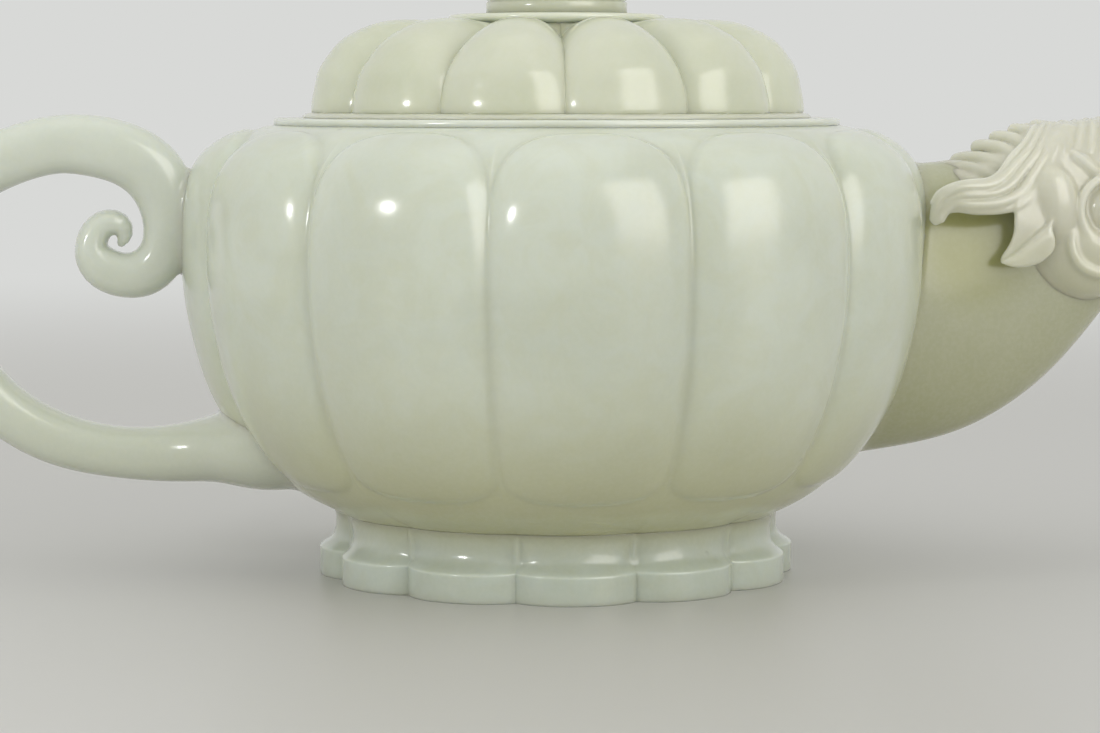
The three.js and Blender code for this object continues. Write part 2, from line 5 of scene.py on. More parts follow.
import bpy
import numpy as np
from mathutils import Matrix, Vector


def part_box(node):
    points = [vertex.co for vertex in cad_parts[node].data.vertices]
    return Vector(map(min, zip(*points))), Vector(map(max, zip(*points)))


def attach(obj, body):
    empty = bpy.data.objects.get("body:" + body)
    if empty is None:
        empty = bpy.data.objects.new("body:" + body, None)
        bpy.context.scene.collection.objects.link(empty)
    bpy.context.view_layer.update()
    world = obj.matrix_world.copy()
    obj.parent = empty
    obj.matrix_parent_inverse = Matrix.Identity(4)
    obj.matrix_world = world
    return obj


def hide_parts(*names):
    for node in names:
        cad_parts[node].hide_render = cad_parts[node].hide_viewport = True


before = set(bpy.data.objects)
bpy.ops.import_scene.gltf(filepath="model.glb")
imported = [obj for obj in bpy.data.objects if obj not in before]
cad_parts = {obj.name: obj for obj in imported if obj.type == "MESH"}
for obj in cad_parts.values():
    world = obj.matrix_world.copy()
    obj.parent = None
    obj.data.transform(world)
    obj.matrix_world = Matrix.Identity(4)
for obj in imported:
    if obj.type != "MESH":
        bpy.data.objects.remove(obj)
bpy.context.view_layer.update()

MM = 0.001
PETALS = 12
HALF_PITCH = math.pi / PETALS


def corners(node):
    low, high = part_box(node)
    return np.array(low) / MM, np.array(high) / MM


# Camera

CAMERA_TURN, CAMERA_DISTANCE, CAMERA_HEIGHT = math.radians(-5), 441, 67.8
CAMERA_TILT, CAMERA_SWING = math.radians(5.036), math.radians(0.121)
camera_data = bpy.data.cameras.new("Camera")
camera_data.lens = 102.2
camera_data.sensor_width = 36
camera_data.clip_start = 0.01
camera = bpy.data.objects.new("Camera", camera_data)
bpy.context.scene.collection.objects.link(camera)
bpy.context.scene.camera = camera
camera_side, camera_front = math.sin(CAMERA_TURN) * CAMERA_DISTANCE, math.cos(CAMERA_TURN) * CAMERA_DISTANCE
camera.location = Vector((camera_side, -camera_front, CAMERA_HEIGHT)) * MM
camera.rotation_euler = (math.radians(90) - CAMERA_TILT, 0, CAMERA_TURN + CAMERA_SWING)


class Wire:
    """A value on its way between two shader nodes. Sums written with it add their Math nodes."""

    def __init__(self, bench, socket):
        self.bench = bench
        self.socket = socket

    def maths(self, operation, other):
        return self.bench.node("ShaderNodeMath", {"operation": operation}, {0: self, 1: other})

    def __add__(self, other):
        return self.maths("ADD", other)

    __radd__ = __add__

    def __mul__(self, other):
        return self.maths("MULTIPLY", other)

    __rmul__ = __mul__


class Bench:
    """The bench on which one material or backdrop is put together."""

    def __init__(self, tree):
        self.tree = tree
        tree.nodes.clear()

    def wire(self, made, out):
        """The wire from a node's output, which is given by its name or its number."""
        outs = [s for s in made.outputs if s.enabled]
        return Wire(self, outs[out] if isinstance(out, int) else next(s for s in outs if s.name == out))

    def node(self, kind, settings=None, sockets=None, out=0):
        """A node with its settings and its sockets' values or links, and the wire or wires from it."""
        made = self.tree.nodes.new(kind)
        for name, value in (settings or {}).items():
            setattr(made, name, value)
        for name, value in (sockets or {}).items():
            live = [s for s in made.inputs if s.enabled]
            socket = live[name] if isinstance(name, int) else next(s for s in live if s.name == name)
            if isinstance(value, Wire):
                self.tree.links.new(value.socket, socket)
            else:
                socket.default_value = value
        if isinstance(out, tuple):
            return [self.wire(made, name) for name in out]
        return self.wire(made, out) if made.outputs else None

    def spread(self, value, low, high, to_low=0.0, to_high=1.0):
        return self.node("ShaderNodeMapRange", {"interpolation_type": "SMOOTHSTEP"}, {
            "Value": value, "From Min": low, "From Max": high, "To Min": to_low, "To Max": to_high})

    def mixed(self, share, first, second):
        return self.node("ShaderNodeMix", {"data_type": "RGBA"}, {"Factor": share, "A": first, "B": second})

    def noise(self, place, scale, detail, roughness=0.5, distortion=0.0):
        return self.node("ShaderNodeTexNoise", {}, {
            "Vector": place, "Scale": scale, "Detail": detail, "Roughness": roughness,
            "Distortion": distortion}, out="Fac")


def linear(red, green, blue):
    """A colour given in the 0 to 255 steps of a picture, as the shader wants it."""
    def one(step):
        share = step / 255
        return share / 12.92 if share <= 0.04045 else ((share + 0.055) / 1.055) ** 2.4
    return (one(red), one(green), one(blue), 1)


# How rough the jade's polish is, and how far light goes into it, in metres
ROUGHNESS, LIGHT_REACH = 0.2, 0.003
# The tones of the flecks, of the specks, and of the painted shade under the hair lock
FLECK_TONE, SPECK_TONE, LOCK_SHADE_TONE = linear(228, 228, 214), linear(120, 124, 108), linear(158, 158, 72)


def jade(name, pale, deep, shade, low=0.0, high=0.064, shade_under_lock=None):
    """Polished nephrite: cloudy, faintly flecked, and darker and yellower towards one end, which is
    partly the stone's own olive tone and partly painted shade.

    It has its shade tone at the height low and its own tones from the height high on. A patch of
    painted shade where the hair lock shades the neck, on both sides of the pot, has its middle at the
    place given. Heights and places are in metres."""
    pale, deep, shade = (linear(*tone) for tone in (pale, deep, shade))
    material = bpy.data.materials.new(name)
    material.use_nodes = True
    bench = Bench(material.node_tree)
    place = bench.node("ShaderNodeTexCoord", out="Object")
    height = bench.node("ShaderNodeSeparateXYZ", {}, {0: place}, out="Z")
    cloud = bench.noise(place, 38.0, 3.0, 0.55, 0.6)
    wisp = bench.noise(place, 150.0, 4.0, 0.6, 1.2)
    fleck = bench.noise(place, 1500.0, 2.0, 0.6)
    rare = bench.noise(place, 60.0, 0.0)
    speck = bench.node("ShaderNodeTexVoronoi", {"feature": "F1"}, {
        "Vector": place, "Scale": 90.0, "Randomness": 1.0}, out="Distance")
    ground = bench.mixed(bench.spread(cloud, 0.35, 0.65), pale, deep)
    # Darker and yellower towards the low height: partly the stone's olive tone, partly painted shade
    toned_and_shaded = bench.mixed(bench.spread(height, low, high, 1.0, 0.0) * 0.85, ground, shade)
    clouded = bench.mixed(bench.spread(wisp, 0.3, 0.7, 0.0, 0.18), toned_and_shaded, shade)
    flecked_and_shaded = bench.mixed(bench.spread(fleck, 0.35, 0.7, 0.0, 0.07), clouded, FLECK_TONE)
    # Painted shade on the neck under the hair lock: an olive patch round the place given, on both sides
    if shade_under_lock is not None:
        one_side = bench.node("ShaderNodeVectorMath", {"operation": "ABSOLUTE"}, {0: place})
        off = bench.node(
            "ShaderNodeVectorMath", {"operation": "DISTANCE"}, {0: one_side, 1: shade_under_lock}, out="Value")
        flecked_and_shaded = bench.mixed(bench.spread(off, 0.003, 0.012, 0.6, 0.0), flecked_and_shaded, LOCK_SHADE_TONE)
    spots = bench.spread(speck, 0.028, 0.045, 1.0, 0.0) * bench.spread(rare, 0.56, 0.6)
    colour = bench.mixed(spots * 0.22, flecked_and_shaded, SPECK_TONE)
    rough = bench.spread(wisp, 0.3, 0.7, ROUGHNESS * 0.85, ROUGHNESS * 1.2)
    ripple = bench.node("ShaderNodeBump", {}, {
        "Height": cloud * 0.6 + wisp * 0.25, "Strength": 0.06, "Distance": 0.0006})
    shader = bench.node("ShaderNodeBsdfPrincipled", {"subsurface_method": "RANDOM_WALK"}, {
        "Base Color": colour, "Roughness": rough, "Normal": ripple, "IOR": 1.5, "Subsurface Weight": 1.0,
        "Subsurface Radius": (0.75, 0.8, 1.0), "Subsurface Scale": LIGHT_REACH,
        "Coat Weight": 0.5, "Coat Roughness": 0.11, "Coat IOR": 1.5})
    bench.node("ShaderNodeOutputMaterial", {}, {"Surface": shader})
    return material


# Each slot's pale, deep and shade tones, and the heights between which the shade fades. The shade
# tone is partly the stone's olive and partly painted shade: low on each piece, and at the top of
# the foot, under the belly.
MATERIALS = {
    "pot_jade": jade("Pot jade", (212, 218, 205), (205, 211, 197), (193, 193, 150), 0.008, 0.036),
    "foot_jade": jade("Foot jade", (199, 207, 197), (191, 199, 187), (184, 184, 148), 0.0108, 0.0052),
    "handle_jade": jade("Handle jade", (214, 219, 208), (207, 212, 200), (200, 204, 186)),
    # The spout's tones are darker and more olive than the pot's, partly its own tone and partly painted shade
    # for the neck's dimmer light, with a patch of painted shade under the hair lock
    "spout_jade": jade(
        "Spout jade", (190, 192, 168), (182, 184, 156), (166, 167, 130), shade_under_lock=(0.0575, 0.0085, 0.0465)),
    "carved_jade": jade("Carved jade", (213, 212, 197), (206, 205, 187), (199, 199, 166), 0.034, 0.052),
    "lid_jade": jade("Lid jade", (213, 216, 197), (206, 210, 188), (206, 208, 184), 0.05, 0.07),
}


# Making meshes

def new_object(name, points, faces, material, smooth=True):
    mesh = bpy.data.meshes.new(name)
    mesh.from_pydata((np.asarray(points) * MM).tolist(), [], np.asarray(faces).tolist())
    mesh.materials.append(material)
    mesh.polygons.foreach_set("use_smooth", np.full(len(mesh.polygons), smooth))
    mesh.update()
    made = bpy.data.objects.new(name, mesh)
    bpy.context.scene.collection.objects.link(made)
    return made


def settle(made):
    """Turns what the modifiers show into the piece's own mesh."""
    graph = bpy.context.evaluated_depsgraph_get()
    mesh = bpy.data.meshes.new_from_object(made.evaluated_get(graph))
    made.modifiers.clear()
    made.data = mesh
    mesh.name = made.name
    mesh.update()
    return made


def fit(made, body, slot, *nodes):
    """Puts a piece on the body that it rides on and hides the solids that it stands for. The slot is not
    used.
    """
    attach(made, body)
    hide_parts(*nodes)
    return made


def run_along(points):
    """How far along a line of points each of them lies."""
    return np.concatenate([[0], np.cumsum(np.linalg.norm(np.diff(points, axis=0), axis=1))])


def bend_through(points, steps, spatial=2):
    """One fair curve through the given places, at evenly spread steps along it."""
    points = np.array(points, float)
    knots = run_along(points[:, :spatial])
    count = len(knots)
    gap = np.diff(knots)
    slope = np.diff(points, axis=0) / gap[:, None]
    grid = np.eye(count)
    right = np.zeros_like(points)
    for i in range(1, count - 1):
        grid[i, i - 1:i + 2] = gap[i - 1], 2 * (gap[i - 1] + gap[i]), gap[i]
        right[i] = 6 * (slope[i] - slope[i - 1])
    bend = np.linalg.solve(grid, right)

    def at(places):
        i = np.clip(np.searchsorted(knots, places, side="right") - 1, 0, count - 2)
        b = ((places - knots[i]) / gap[i])[:, None]
        a = 1 - b
        return (a * points[i] + b * points[i + 1]
                + ((a ** 3 - a) * bend[i] + (b ** 3 - b) * bend[i + 1]) * gap[i][:, None] ** 2 / 6)

    fine = at(np.linspace(0, knots[-1], 20 * steps))
    length = run_along(fine[:, :spatial])
    even = np.linspace(0, length[-1], steps)
    return np.stack([np.interp(even, length, fine[:, i]) for i in range(fine.shape[1])], axis=1)


def net_faces(rows, columns):
    """The four-cornered faces of a net of points, with the columns running before the rows."""
    row, column = (a.ravel() for a in np.meshgrid(np.arange(rows - 1), np.arange(columns - 1), indexing="ij"))
    corner = row * columns + column
    return np.stack([corner, corner + 1, corner + columns + 1, corner + columns], axis=1)


def turning_tree():
    """Repeats a wedge about the pot's axis and joins the copies into one closed shell."""
    tree = bpy.data.node_groups.new("Turn the wedge round", "GeometryNodeTree")
    sockets = {}
    for name, kind in (("Wedge", "Geometry"), ("Copies", "Int"), ("Joint", "Float"), ("Stone", "Material")):
        sockets[name] = tree.interface.new_socket(name, in_out="INPUT", socket_type="NodeSocket" + kind)
    tree.interface.new_socket("Shell", in_out="OUTPUT", socket_type="NodeSocketGeometry")
    bench = Bench(tree)
    wedge, copies, joint, stone = bench.node("NodeGroupInput", out=tuple(sockets))
    points = bench.node("GeometryNodeMeshLine", {}, {"Count": copies, "Offset": (0, 0, 0)})
    pitch = bench.node("ShaderNodeMath", {"operation": "DIVIDE"}, {0: 2 * math.pi, 1: copies})
    turn = bench.node("GeometryNodeInputIndex") * pitch
    euler = bench.node("ShaderNodeCombineXYZ", {}, {"Z": turn})
    rotation = bench.node("FunctionNodeEulerToRotation", {}, {0: euler})
    placed = bench.node("GeometryNodeInstanceOnPoints", {}, {
        "Points": points, "Instance": wedge, "Rotation": rotation})
    real = bench.node("GeometryNodeRealizeInstances", {}, {0: placed})
    joined = bench.node("GeometryNodeMergeByDistance", {}, {"Geometry": real, "Distance": joint})
    smooth = bench.node("GeometryNodeSetShadeSmooth", {}, {"Geometry": joined, "Shade Smooth": True})
    coated = bench.node("GeometryNodeSetMaterial", {}, {"Geometry": smooth, "Material": stone})
    bench.node("NodeGroupOutput", {}, {0: coated})
    return tree, {name: socket.identifier for name, socket in sockets.items()}


TURNING, TURNING_SOCKETS = turning_tree()
# Points of two copies that lie closer than this, in metres, become one
JOINT_REACH = 0.000004


def turned(name, net, material):
    """A closed shell of twelve copies of one wedge, which is a net of rows by columns."""
    rows, columns = net.shape[:2]
    made = new_object(name, net.reshape(-1, 3), net_faces(rows, columns), material)
    modifier = made.modifiers.new("Turn", "NODES")
    modifier.node_group = TURNING
    for socket, value in (("Copies", PETALS), ("Joint", JOINT_REACH), ("Stone", material)):
        modifier[TURNING_SOCKETS[socket]] = value
    return settle(made)


def across_shares(half):
    """Places across a petal, 0 at its crest and 1 at its seams, closer together near the seams."""
    even = np.linspace(0, 1, half + 1)
    crowded = 1 - (1 - even) ** 1.7
    positive = 0.9 * crowded + 0.1 * even
    return np.concatenate([-positive[:0:-1], positive])


def wedge_net(radius, height, shares, turn=0.0):
    """Places of a wedge from its radius and height at each row and column."""
    angle = turn + HALF_PITCH * shares
    return np.stack([radius * np.cos(angle), radius * np.sin(angle), height + 0 * radius], axis=-1)


def plain_rows(profile, shares, turn=0.0):
    """Rows of a wedge that is round: a turned face from pairs of radius and height."""
    profile = np.array(profile, float)
    wide = np.ones_like(shares)
    return wedge_net(profile[:, :1] * wide, profile[:, 1:] * wide, shares, turn)


def soft_positive(value, soft):
    """The value where it is above zero, and zero below, with a rounded change between."""
    return 0.5 * (value + np.sqrt(value * value + soft * soft))


# The belly, the collar and the foot

BELLY_FOOT = corners("pot_body")[0][2]
BELLY_RADIUS, SHOULDER = corners("pot_shoulder")[1][1:]
FOOT_RADIUS, FOOT_TOP = corners("foot_ring")[1][1:]
collar_low, collar_high = corners("mouth_collar")
MOUTH_RADIUS, SHOULDER_RADIUS, WAIST_RADIUS = 30.0, collar_high[0] + 0.2, 31.0
SEAM_DEPTH, WALL, FLOOR_THICKNESS = 2.8, 4, 4.2

# The belly's outline over a petal's crest and in the ground that the petals rise from, and its
# hollow's outline, as shares of radius and height
CREST_SHARES = [
    (0, 0), (0.2, 0.037), (0.406, 0.089), (0.612, 0.174), (0.8, 0.291), (0.927, 0.442), (0.99, 0.59),
    (1, 0.72), (0.967, 0.85), (0.872, 0.924), (0.7, 0.975), (0.53, 0.996),
]
GROUND_SHARES = [
    (0, 0), (0.205, 0.033), (0.393, 0.08), (0.618, 0.174), (0.806, 0.3), (0.937, 0.447), (0.995, 0.59),
    (1, 0.71), (0.955, 0.82), (0.872, 0.888), (0.73, 0.95), (0.59, 0.988),
]
HOLLOW_SHARES = [(0.9, 0.93), (0.985, 0.8), (1, 0.6), (0.95, 0.33), (0.82, 0.13)]


def meridian(shares, outer, steps):
    """A belly line from the waist to the shoulder, as pairs of radius and height."""
    wide, tall = outer - WAIST_RADIUS, SHOULDER - BELLY_FOOT
    places = [(WAIST_RADIUS + wide * r, BELLY_FOOT + tall * z) for r, z in shares]
    return bend_through(places + [(SHOULDER_RADIUS, SHOULDER)], steps)


def row_shares(count):
    """Rows up the belly, closer together at the arches and at the toes."""
    even = np.linspace(0, 1, count)
    density = 1
    for extra, middle in ((1.6, 0.93), (1.2, 0.2)):
        density = density + extra * np.exp(-((even - middle) / 0.07) ** 2)
    run = np.concatenate([[0], np.cumsum(0.5 * (density[1:] + density[:-1]))])
    return np.interp(np.linspace(0, run[-1], count), run, even)


# The arch over each petal and the toe under it, where its face slopes down into the ground, with
# the rib that runs up each seam, and the fillet and scallops at the waist
ARCH_LENGTH, ARCH_RISE, ARCH_SLOPE = 16.5, 13.0, 0.55
TOE_LENGTH, TOE_RISE, TOE_SLOPE = 16.0, 6.0, 1.3
RIB_HEIGHT, RIB_HALF_WIDTH, RIB_FADE = 0.16, 0.34, 4.0
BEVEL_SOFTNESS, CREASE_SOFTNESS = 0.45, 0.22
TOE_SHARPNESS, TOE_ROUNDING = 0.2, 0.5
WAIST_FILLET, WAIST_SCALLOP, WAIST_REACH = 0.6, 0.8, 5.0
SCALLOP_SHARPNESS = 2.4


def petal_skin(rows, shares):
    """Radius and height of the belly's outside, row by row, over one petal."""
    fine = 1200
    crest = meridian(CREST_SHARES, BELLY_RADIUS, fine)
    ground = meridian(GROUND_SHARES, BELLY_RADIUS - SEAM_DEPTH, fine)
    run = run_along(ground)
    rise = crest - ground
    pick = rows * (fine - 1)
    at = lambda values: np.interp(pick, np.arange(fine), values)[:, None]
    low_r, low_z, out_r, out_z = at(ground[:, 0]), at(ground[:, 1]), at(rise[:, 0]), at(rise[:, 1])
    depth = np.maximum(np.hypot(out_r, out_z), 1e-9)
    from_waist = at(run)
    from_top = run[-1] - from_waist
    side = np.abs(shares)[None, :]
    arch = np.maximum(0, (ARCH_LENGTH - from_top) / ARCH_RISE)
    toe = np.maximum(0, (TOE_LENGTH - from_waist) / TOE_RISE)
    beyond_arch = soft_positive((np.hypot(side ** 1.2, arch) - 1) * ARCH_RISE, BEVEL_SOFTNESS)
    toe_softness = TOE_SHARPNESS + TOE_ROUNDING * (1 - side ** 3)
    beyond_toe = soft_positive((np.hypot(side ** 1.6, toe) - 1) * TOE_RISE, toe_softness)
    pillow = depth * (1 - 0.8 * side ** 2.2 - 0.2 * side ** 10)
    lift = soft_positive(pillow - ARCH_SLOPE * beyond_arch - TOE_SLOPE * beyond_toe, CREASE_SOFTNESS)
    lift = np.minimum(lift, depth)
    half_width = HALF_PITCH * low_r
    inside = np.minimum(from_top - RIB_FADE, from_waist - TOE_LENGTH + TOE_RISE)
    fade = np.clip(inside / RIB_FADE, 0, 1)
    lift = lift + RIB_HEIGHT * fade * np.exp(-(half_width * (1 - side) / RIB_HALF_WIDTH) ** 2)
    radius, height = low_r + out_r / depth * lift, low_z + out_z / depth * lift
    over_waist = height - BELLY_FOOT
    radius = radius + WAIST_FILLET * np.exp(-over_waist / (0.8 * WAIST_FILLET))
    low_down = np.clip(1 - over_waist / WAIST_REACH, 0, 1) ** 2
    radius = radius - WAIST_SCALLOP * side ** SCALLOP_SHARPNESS * low_down
    return radius, height


TEA_HOLES, TEA_HOLE_RADIUS, TEA_HOLE_RING, TEA_HOLE_HEIGHT = 7, 1.5, 4.6, 33
TEA_DRILL_ENDS = (40, 70)


def tea_drills():
    """Round bars where the tea holes go through the wall behind the spout, one amid a ring."""
    sides = 24
    angles = np.linspace(0, 2 * math.pi, sides, endpoint=False)
    points, faces = [], []
    for i in range(TEA_HOLES):
        off = TEA_HOLE_RING if i < TEA_HOLES - 1 else 0
        turn = 2 * math.pi * i / (TEA_HOLES - 1)
        y, z = off * math.sin(turn), TEA_HOLE_HEIGHT + off * math.cos(turn)
        points += [(x, y + TEA_HOLE_RADIUS * math.cos(a), z + TEA_HOLE_RADIUS * math.sin(a))
                   for x in TEA_DRILL_ENDS for a in angles]
        near = [2 * sides * i + j for j in range(sides)]
        far = [j + sides for j in near]
        faces += [[near[j], near[(j + 1) % sides], far[(j + 1) % sides], far[j]] for j in range(sides)]
        faces += [near[::-1], far]
    mesh = bpy.data.meshes.new("drills")
    mesh.from_pydata((np.array(points) * MM).tolist(), [], faces)
    drills = bpy.data.objects.new("drills", mesh)
    bpy.context.scene.collection.objects.link(drills)
    return drills


def belly():
    """The belly's skin over the petals, and its hollow, in one closed shell with the tea holes."""
    shares = across_shares(17)
    radius, height = petal_skin(row_shares(204), shares)
    outside = wedge_net(radius, height, shares)
    base = plain_rows([(0, BELLY_FOOT), (14, BELLY_FOOT), (28, BELLY_FOOT)], shares)
    rim, floor = SHOULDER - 2, BELLY_FOOT + FLOOR_THICKNESS
    hollow = BELLY_RADIUS - SEAM_DEPTH - WALL
    places = [(hollow * r, floor + (rim - floor) * z) for r, z in HOLLOW_SHARES]
    inner = bend_through([(MOUTH_RADIUS, rim)] + places + [(hollow * 0.62, floor + 0.6), (0, floor)], 30)
    top = plain_rows([(36, SHOULDER), (MOUTH_RADIUS, SHOULDER)], shares)
    net = np.concatenate([base, outside, top, plain_rows(inner, shares)])
    made = turned("belly", net, MATERIALS["pot_jade"])
    drills = tea_drills()
    modifier = made.modifiers.new("Drill", "BOOLEAN")
    modifier.operation = "DIFFERENCE"
    modifier.solver = "MANIFOLD"
    modifier.object = drills
    settle(made)
    bpy.data.objects.remove(drills)
    return fit(made, "pot", "pot_jade", "pot_body", "pot_shoulder")


def collar():
    """The flat collar round the mouth, with its edges eased."""
    low, high, outer = collar_low[2], collar_high[2], collar_high[0]
    profile = [
        (MOUTH_RADIUS, low), (outer - 0.1, low), (outer, low + 0.1), (outer, high - 0.35),
        (outer - 0.1, high - 0.12), (outer - 0.35, high), (MOUTH_RADIUS + 0.4, high),
        (MOUTH_RADIUS + 0.1, high - 0.1), (MOUTH_RADIUS, high - 0.4), (MOUTH_RADIUS, low)]
    made = turned("mouth_rim", plain_rows(profile, np.linspace(-1, 1, 13)), MATERIALS["pot_jade"])
    return fit(made, "pot", "pot_jade", "mouth_collar")


FOOT_BAND, FOOT_SCALLOP, FOOT_WALL = 3.75, 2.5, 5
FOOT_RIB_HEIGHT, FOOT_RIB_HALF_WIDTH, FOOT_HALF_PITCH = 0.4, 0.4, 8.2
# The foot's flare over its band, as shares of the way out from the waist, and heights
FLARE = [
    (1, 0.02), (0.985, 0.14), (0.92, 0.3), (0.7, 0.66), (0.42, 1.2), (0.2, 2.1), (0.12, 3.1), (0.11, 4.0),
    (0.14, 4.75),
]


def foot():
    """The scalloped foot: an upright band under a hollow flare, with a rib in each corner."""
    shares = across_shares(16)
    band, spread = FOOT_BAND, FOOT_RADIUS - WAIST_RADIUS
    places = [(share, band + rise) for share, rise in FLARE] + [(WAIST_FILLET / spread, FOOT_TOP)]
    upright = [(0.985, 0), (1, 0.15), (1, band * 0.5), (1, band - 0.3), (1, band - 0.1)]
    rows = np.concatenate([upright, bend_through(places, 44)])
    radius = WAIST_RADIUS + spread * rows[:, :1]
    neck = np.clip((rows[:, 1:] - band) / (FOOT_TOP - band), 0, 1)
    depth = FOOT_SCALLOP + (WAIST_SCALLOP - FOOT_SCALLOP) * (1 - (1 - neck) ** 1.6)
    side = np.abs(shares)[None, :]
    off_corner = (1 - side) * FOOT_HALF_PITCH / FOOT_RIB_HALF_WIDTH
    rib = FOOT_RIB_HEIGHT * np.exp(-off_corner ** 2) * np.clip(4 * neck * (1 - neck), 0, 1)
    out = radius - depth * side ** SCALLOP_SHARPNESS + rib
    inside = FOOT_RADIUS - FOOT_WALL
    net = np.concatenate([
        plain_rows([(inside, FOOT_TOP), (inside, 0.3), (inside + 0.3, 0)], shares),
        wedge_net(out, rows[:, 1:] + 0 * out, shares), plain_rows([(inside, FOOT_TOP)], shares)])
    made = turned("scalloped_foot", net, MATERIALS["foot_jade"])
    return fit(made, "pot", "foot_jade", "foot_ring")


# The lid

LID_TURN = math.radians(12)
dome_low, dome_high = corners("lid_dome")
LID_FOOT, LID_RADIUS, LID_TALL = dome_low[2], dome_high[1], dome_high[2] - dome_low[2]
LID_CREST_RADIUS, LID_SEAM_RADIUS, LID_SEAT_RADIUS = 34.9, 32.5, 13.6
LID_BEAD_TOP, LID_BEAD_INNER, LID_BEAD_OUTER = 0.72, 29.8, 34.6
LID_ROOF_THICKNESS = 3.6
# The outline of a lobe over its crest and of the seam between two lobes, as shares
LID_CREST = [
    (1, 0.02), (1, 0.14), (0.99, 0.285), (0.971, 0.49), (0.934, 0.642), (0.891, 0.774), (0.817, 0.89),
    (0.742, 0.964), (0.66, 0.997), (0.573, 1), (0.487, 0.98),
]
LID_SEAM = [
    (1, 0.02), (1, 0.14), (0.986, 0.277), (0.952, 0.443), (0.903, 0.565), (0.848, 0.65), (0.778, 0.72),
    (0.706, 0.762), (0.632, 0.782), (0.56, 0.788), (0.49, 0.803),
]


def lid_line(outline, radius, seat, steps=400):
    places = [(radius * r, LID_FOOT + LID_TALL * z) for r, z in outline] + [(LID_SEAT_RADIUS, seat)]
    return bend_through(places, steps)


def lid_dome():
    """The hollow lid: a bead round its rim, twelve pillowed lobes, and a flat seat for the disc."""
    seat, low, outer = corners("lid_disc")[0][2], LID_FOOT, LID_RADIUS
    shares = across_shares(18)
    crest, seam = lid_line(LID_CREST, LID_CREST_RADIUS, seat), lid_line(LID_SEAM, LID_SEAM_RADIUS, seat)
    pick = np.linspace(0, len(crest) - 1, 84)
    at = lambda line, i: np.interp(pick, np.arange(len(line)), line[:, i])[:, None]
    swell = np.clip(1 - np.abs(shares)[None, :] ** 2.2, 0, 1) ** 0.85
    radius = at(seam, 0) + (at(crest, 0) - at(seam, 0)) * swell
    height = at(seam, 1) + (at(crest, 1) - at(seam, 1)) * swell
    bead = plain_rows([
        (LID_BEAD_INNER, low), (outer - 0.15, low), (outer, low + 0.15), (outer - 0.1, low + 0.38),
        (outer - 0.45, low + 0.62), (LID_BEAD_OUTER, low + LID_BEAD_TOP)], shares, LID_TURN)
    over_bead = height > low + LID_BEAD_TOP + 0.08
    radius = np.where(over_bead, radius, np.minimum(radius, LID_BEAD_OUTER))
    lobes = wedge_net(radius, np.maximum(height, low + LID_BEAD_TOP + 0.02), shares, LID_TURN)
    roof = seat - LID_ROOF_THICKNESS
    hollow = bend_through([
        (9.5, roof), (17, roof - 1.0), (22.7, roof - 3.4), (25.6, low + 3.3), (26.4, low)], 20)
    inside = plain_rows(np.concatenate([[(0, roof)], hollow]), shares, LID_TURN)
    net = np.concatenate([inside, bead, lobes, plain_rows([(0, seat)], shares, LID_TURN)])
    return fit(turned("lid_lobes", net, MATERIALS["lid_jade"]), "lid", "lid_jade", "lid_dome")


def turned_round(name, profile, node):
    made = turned(name, plain_rows(profile, np.linspace(-1, 1, 11)), MATERIALS["lid_jade"])
    return fit(made, "lid", "lid_jade", node)


def lid_ring():
    """The ring under the lid that drops into the mouth."""
    ring_low, ring_high = corners("lid_locating_ring")
    outer, low, high = ring_high[1], ring_low[2], ring_high[2]
    inner = outer - 3
    return turned_round("lid_locating_lip", [
        (inner, high), (inner, low + 0.5), (inner + 0.5, low), (outer - 0.6, low), (outer, low + 0.6),
        (outer, high), (inner, high)], "lid_locating_ring")


def lid_disc():
    """The thin round plate under the knob, with an undercut edge."""
    disc_low, disc_high = corners("lid_disc")
    radius, low, high = disc_high[1], disc_low[2], disc_high[2]
    return turned_round("lid_plate", [
        (0, low), (LID_SEAT_RADIUS, low), (radius - 0.55, low + 0.42), (radius - 0.15, low + 0.62),
        (radius, low + 0.9), (radius - 0.1, high - 0.22), (radius - 0.35, high - 0.05),
        (radius - 0.7, high), (0, high)], "lid_disc")


def knob_stem():
    """The knob's short round neck, with one groove turned into it."""
    stem_low, stem_high = corners("knob_stem")
    radius, low, high = stem_high[1], stem_low[2], stem_high[2]
    groove = low + (high - low) * 0.72
    return turned_round("knob_neck", [
        (0, low), (radius, low), (radius, groove - 0.3), (radius - 0.12, groove - 0.12),
        (radius - 0.3, groove), (radius - 0.12, groove + 0.12), (radius, groove + 0.3), (radius, high),
        (0, high)], "knob_stem")


BUD_RADIUS, BUD_SEAM_DEPTH = 12.6, 1.1
BUD = [(0.76, 0), (0.93, 0.08), (1, 0.27), (0.96, 0.5), (0.8, 0.72), (0.5, 0.9), (0.2, 0.985), (0, 1)]


def knob_bud():
    """The knob, a bud with the lid's twelve lobes."""
    bud_low, bud_high = corners("knob_bud")
    low, tall = bud_low[2], bud_high[2] - bud_low[2]
    shares = across_shares(10)
    line = bend_through(BUD, 60)
    r, z = line[:, :1], line[:, 1:]
    fade = np.minimum(np.minimum(1, r), 4 * z)
    out = BUD_RADIUS * r - BUD_SEAM_DEPTH * fade * np.abs(shares)[None, :] ** 2
    skin = wedge_net(out, low + tall * z + 0 * out, shares, LID_TURN)
    net = np.concatenate([plain_rows([(0, low)], shares, LID_TURN), skin])
    return fit(turned("knob", net, MATERIALS["lid_jade"]), "lid", "lid_jade", "knob_bud")


# Carving

def soft_join(first, second, soft):
    """Two forms in one, with a fillet between them."""
    share = np.clip(0.5 + 0.5 * (second - first) / soft, 0, 1)
    return second + (first - second) * share - soft * share * (1 - share)


def soft_cut(stone, tool, soft):
    """A form with a tool's form cut from it, and the cut's edge eased."""
    return -soft_join(-stone, tool, soft)


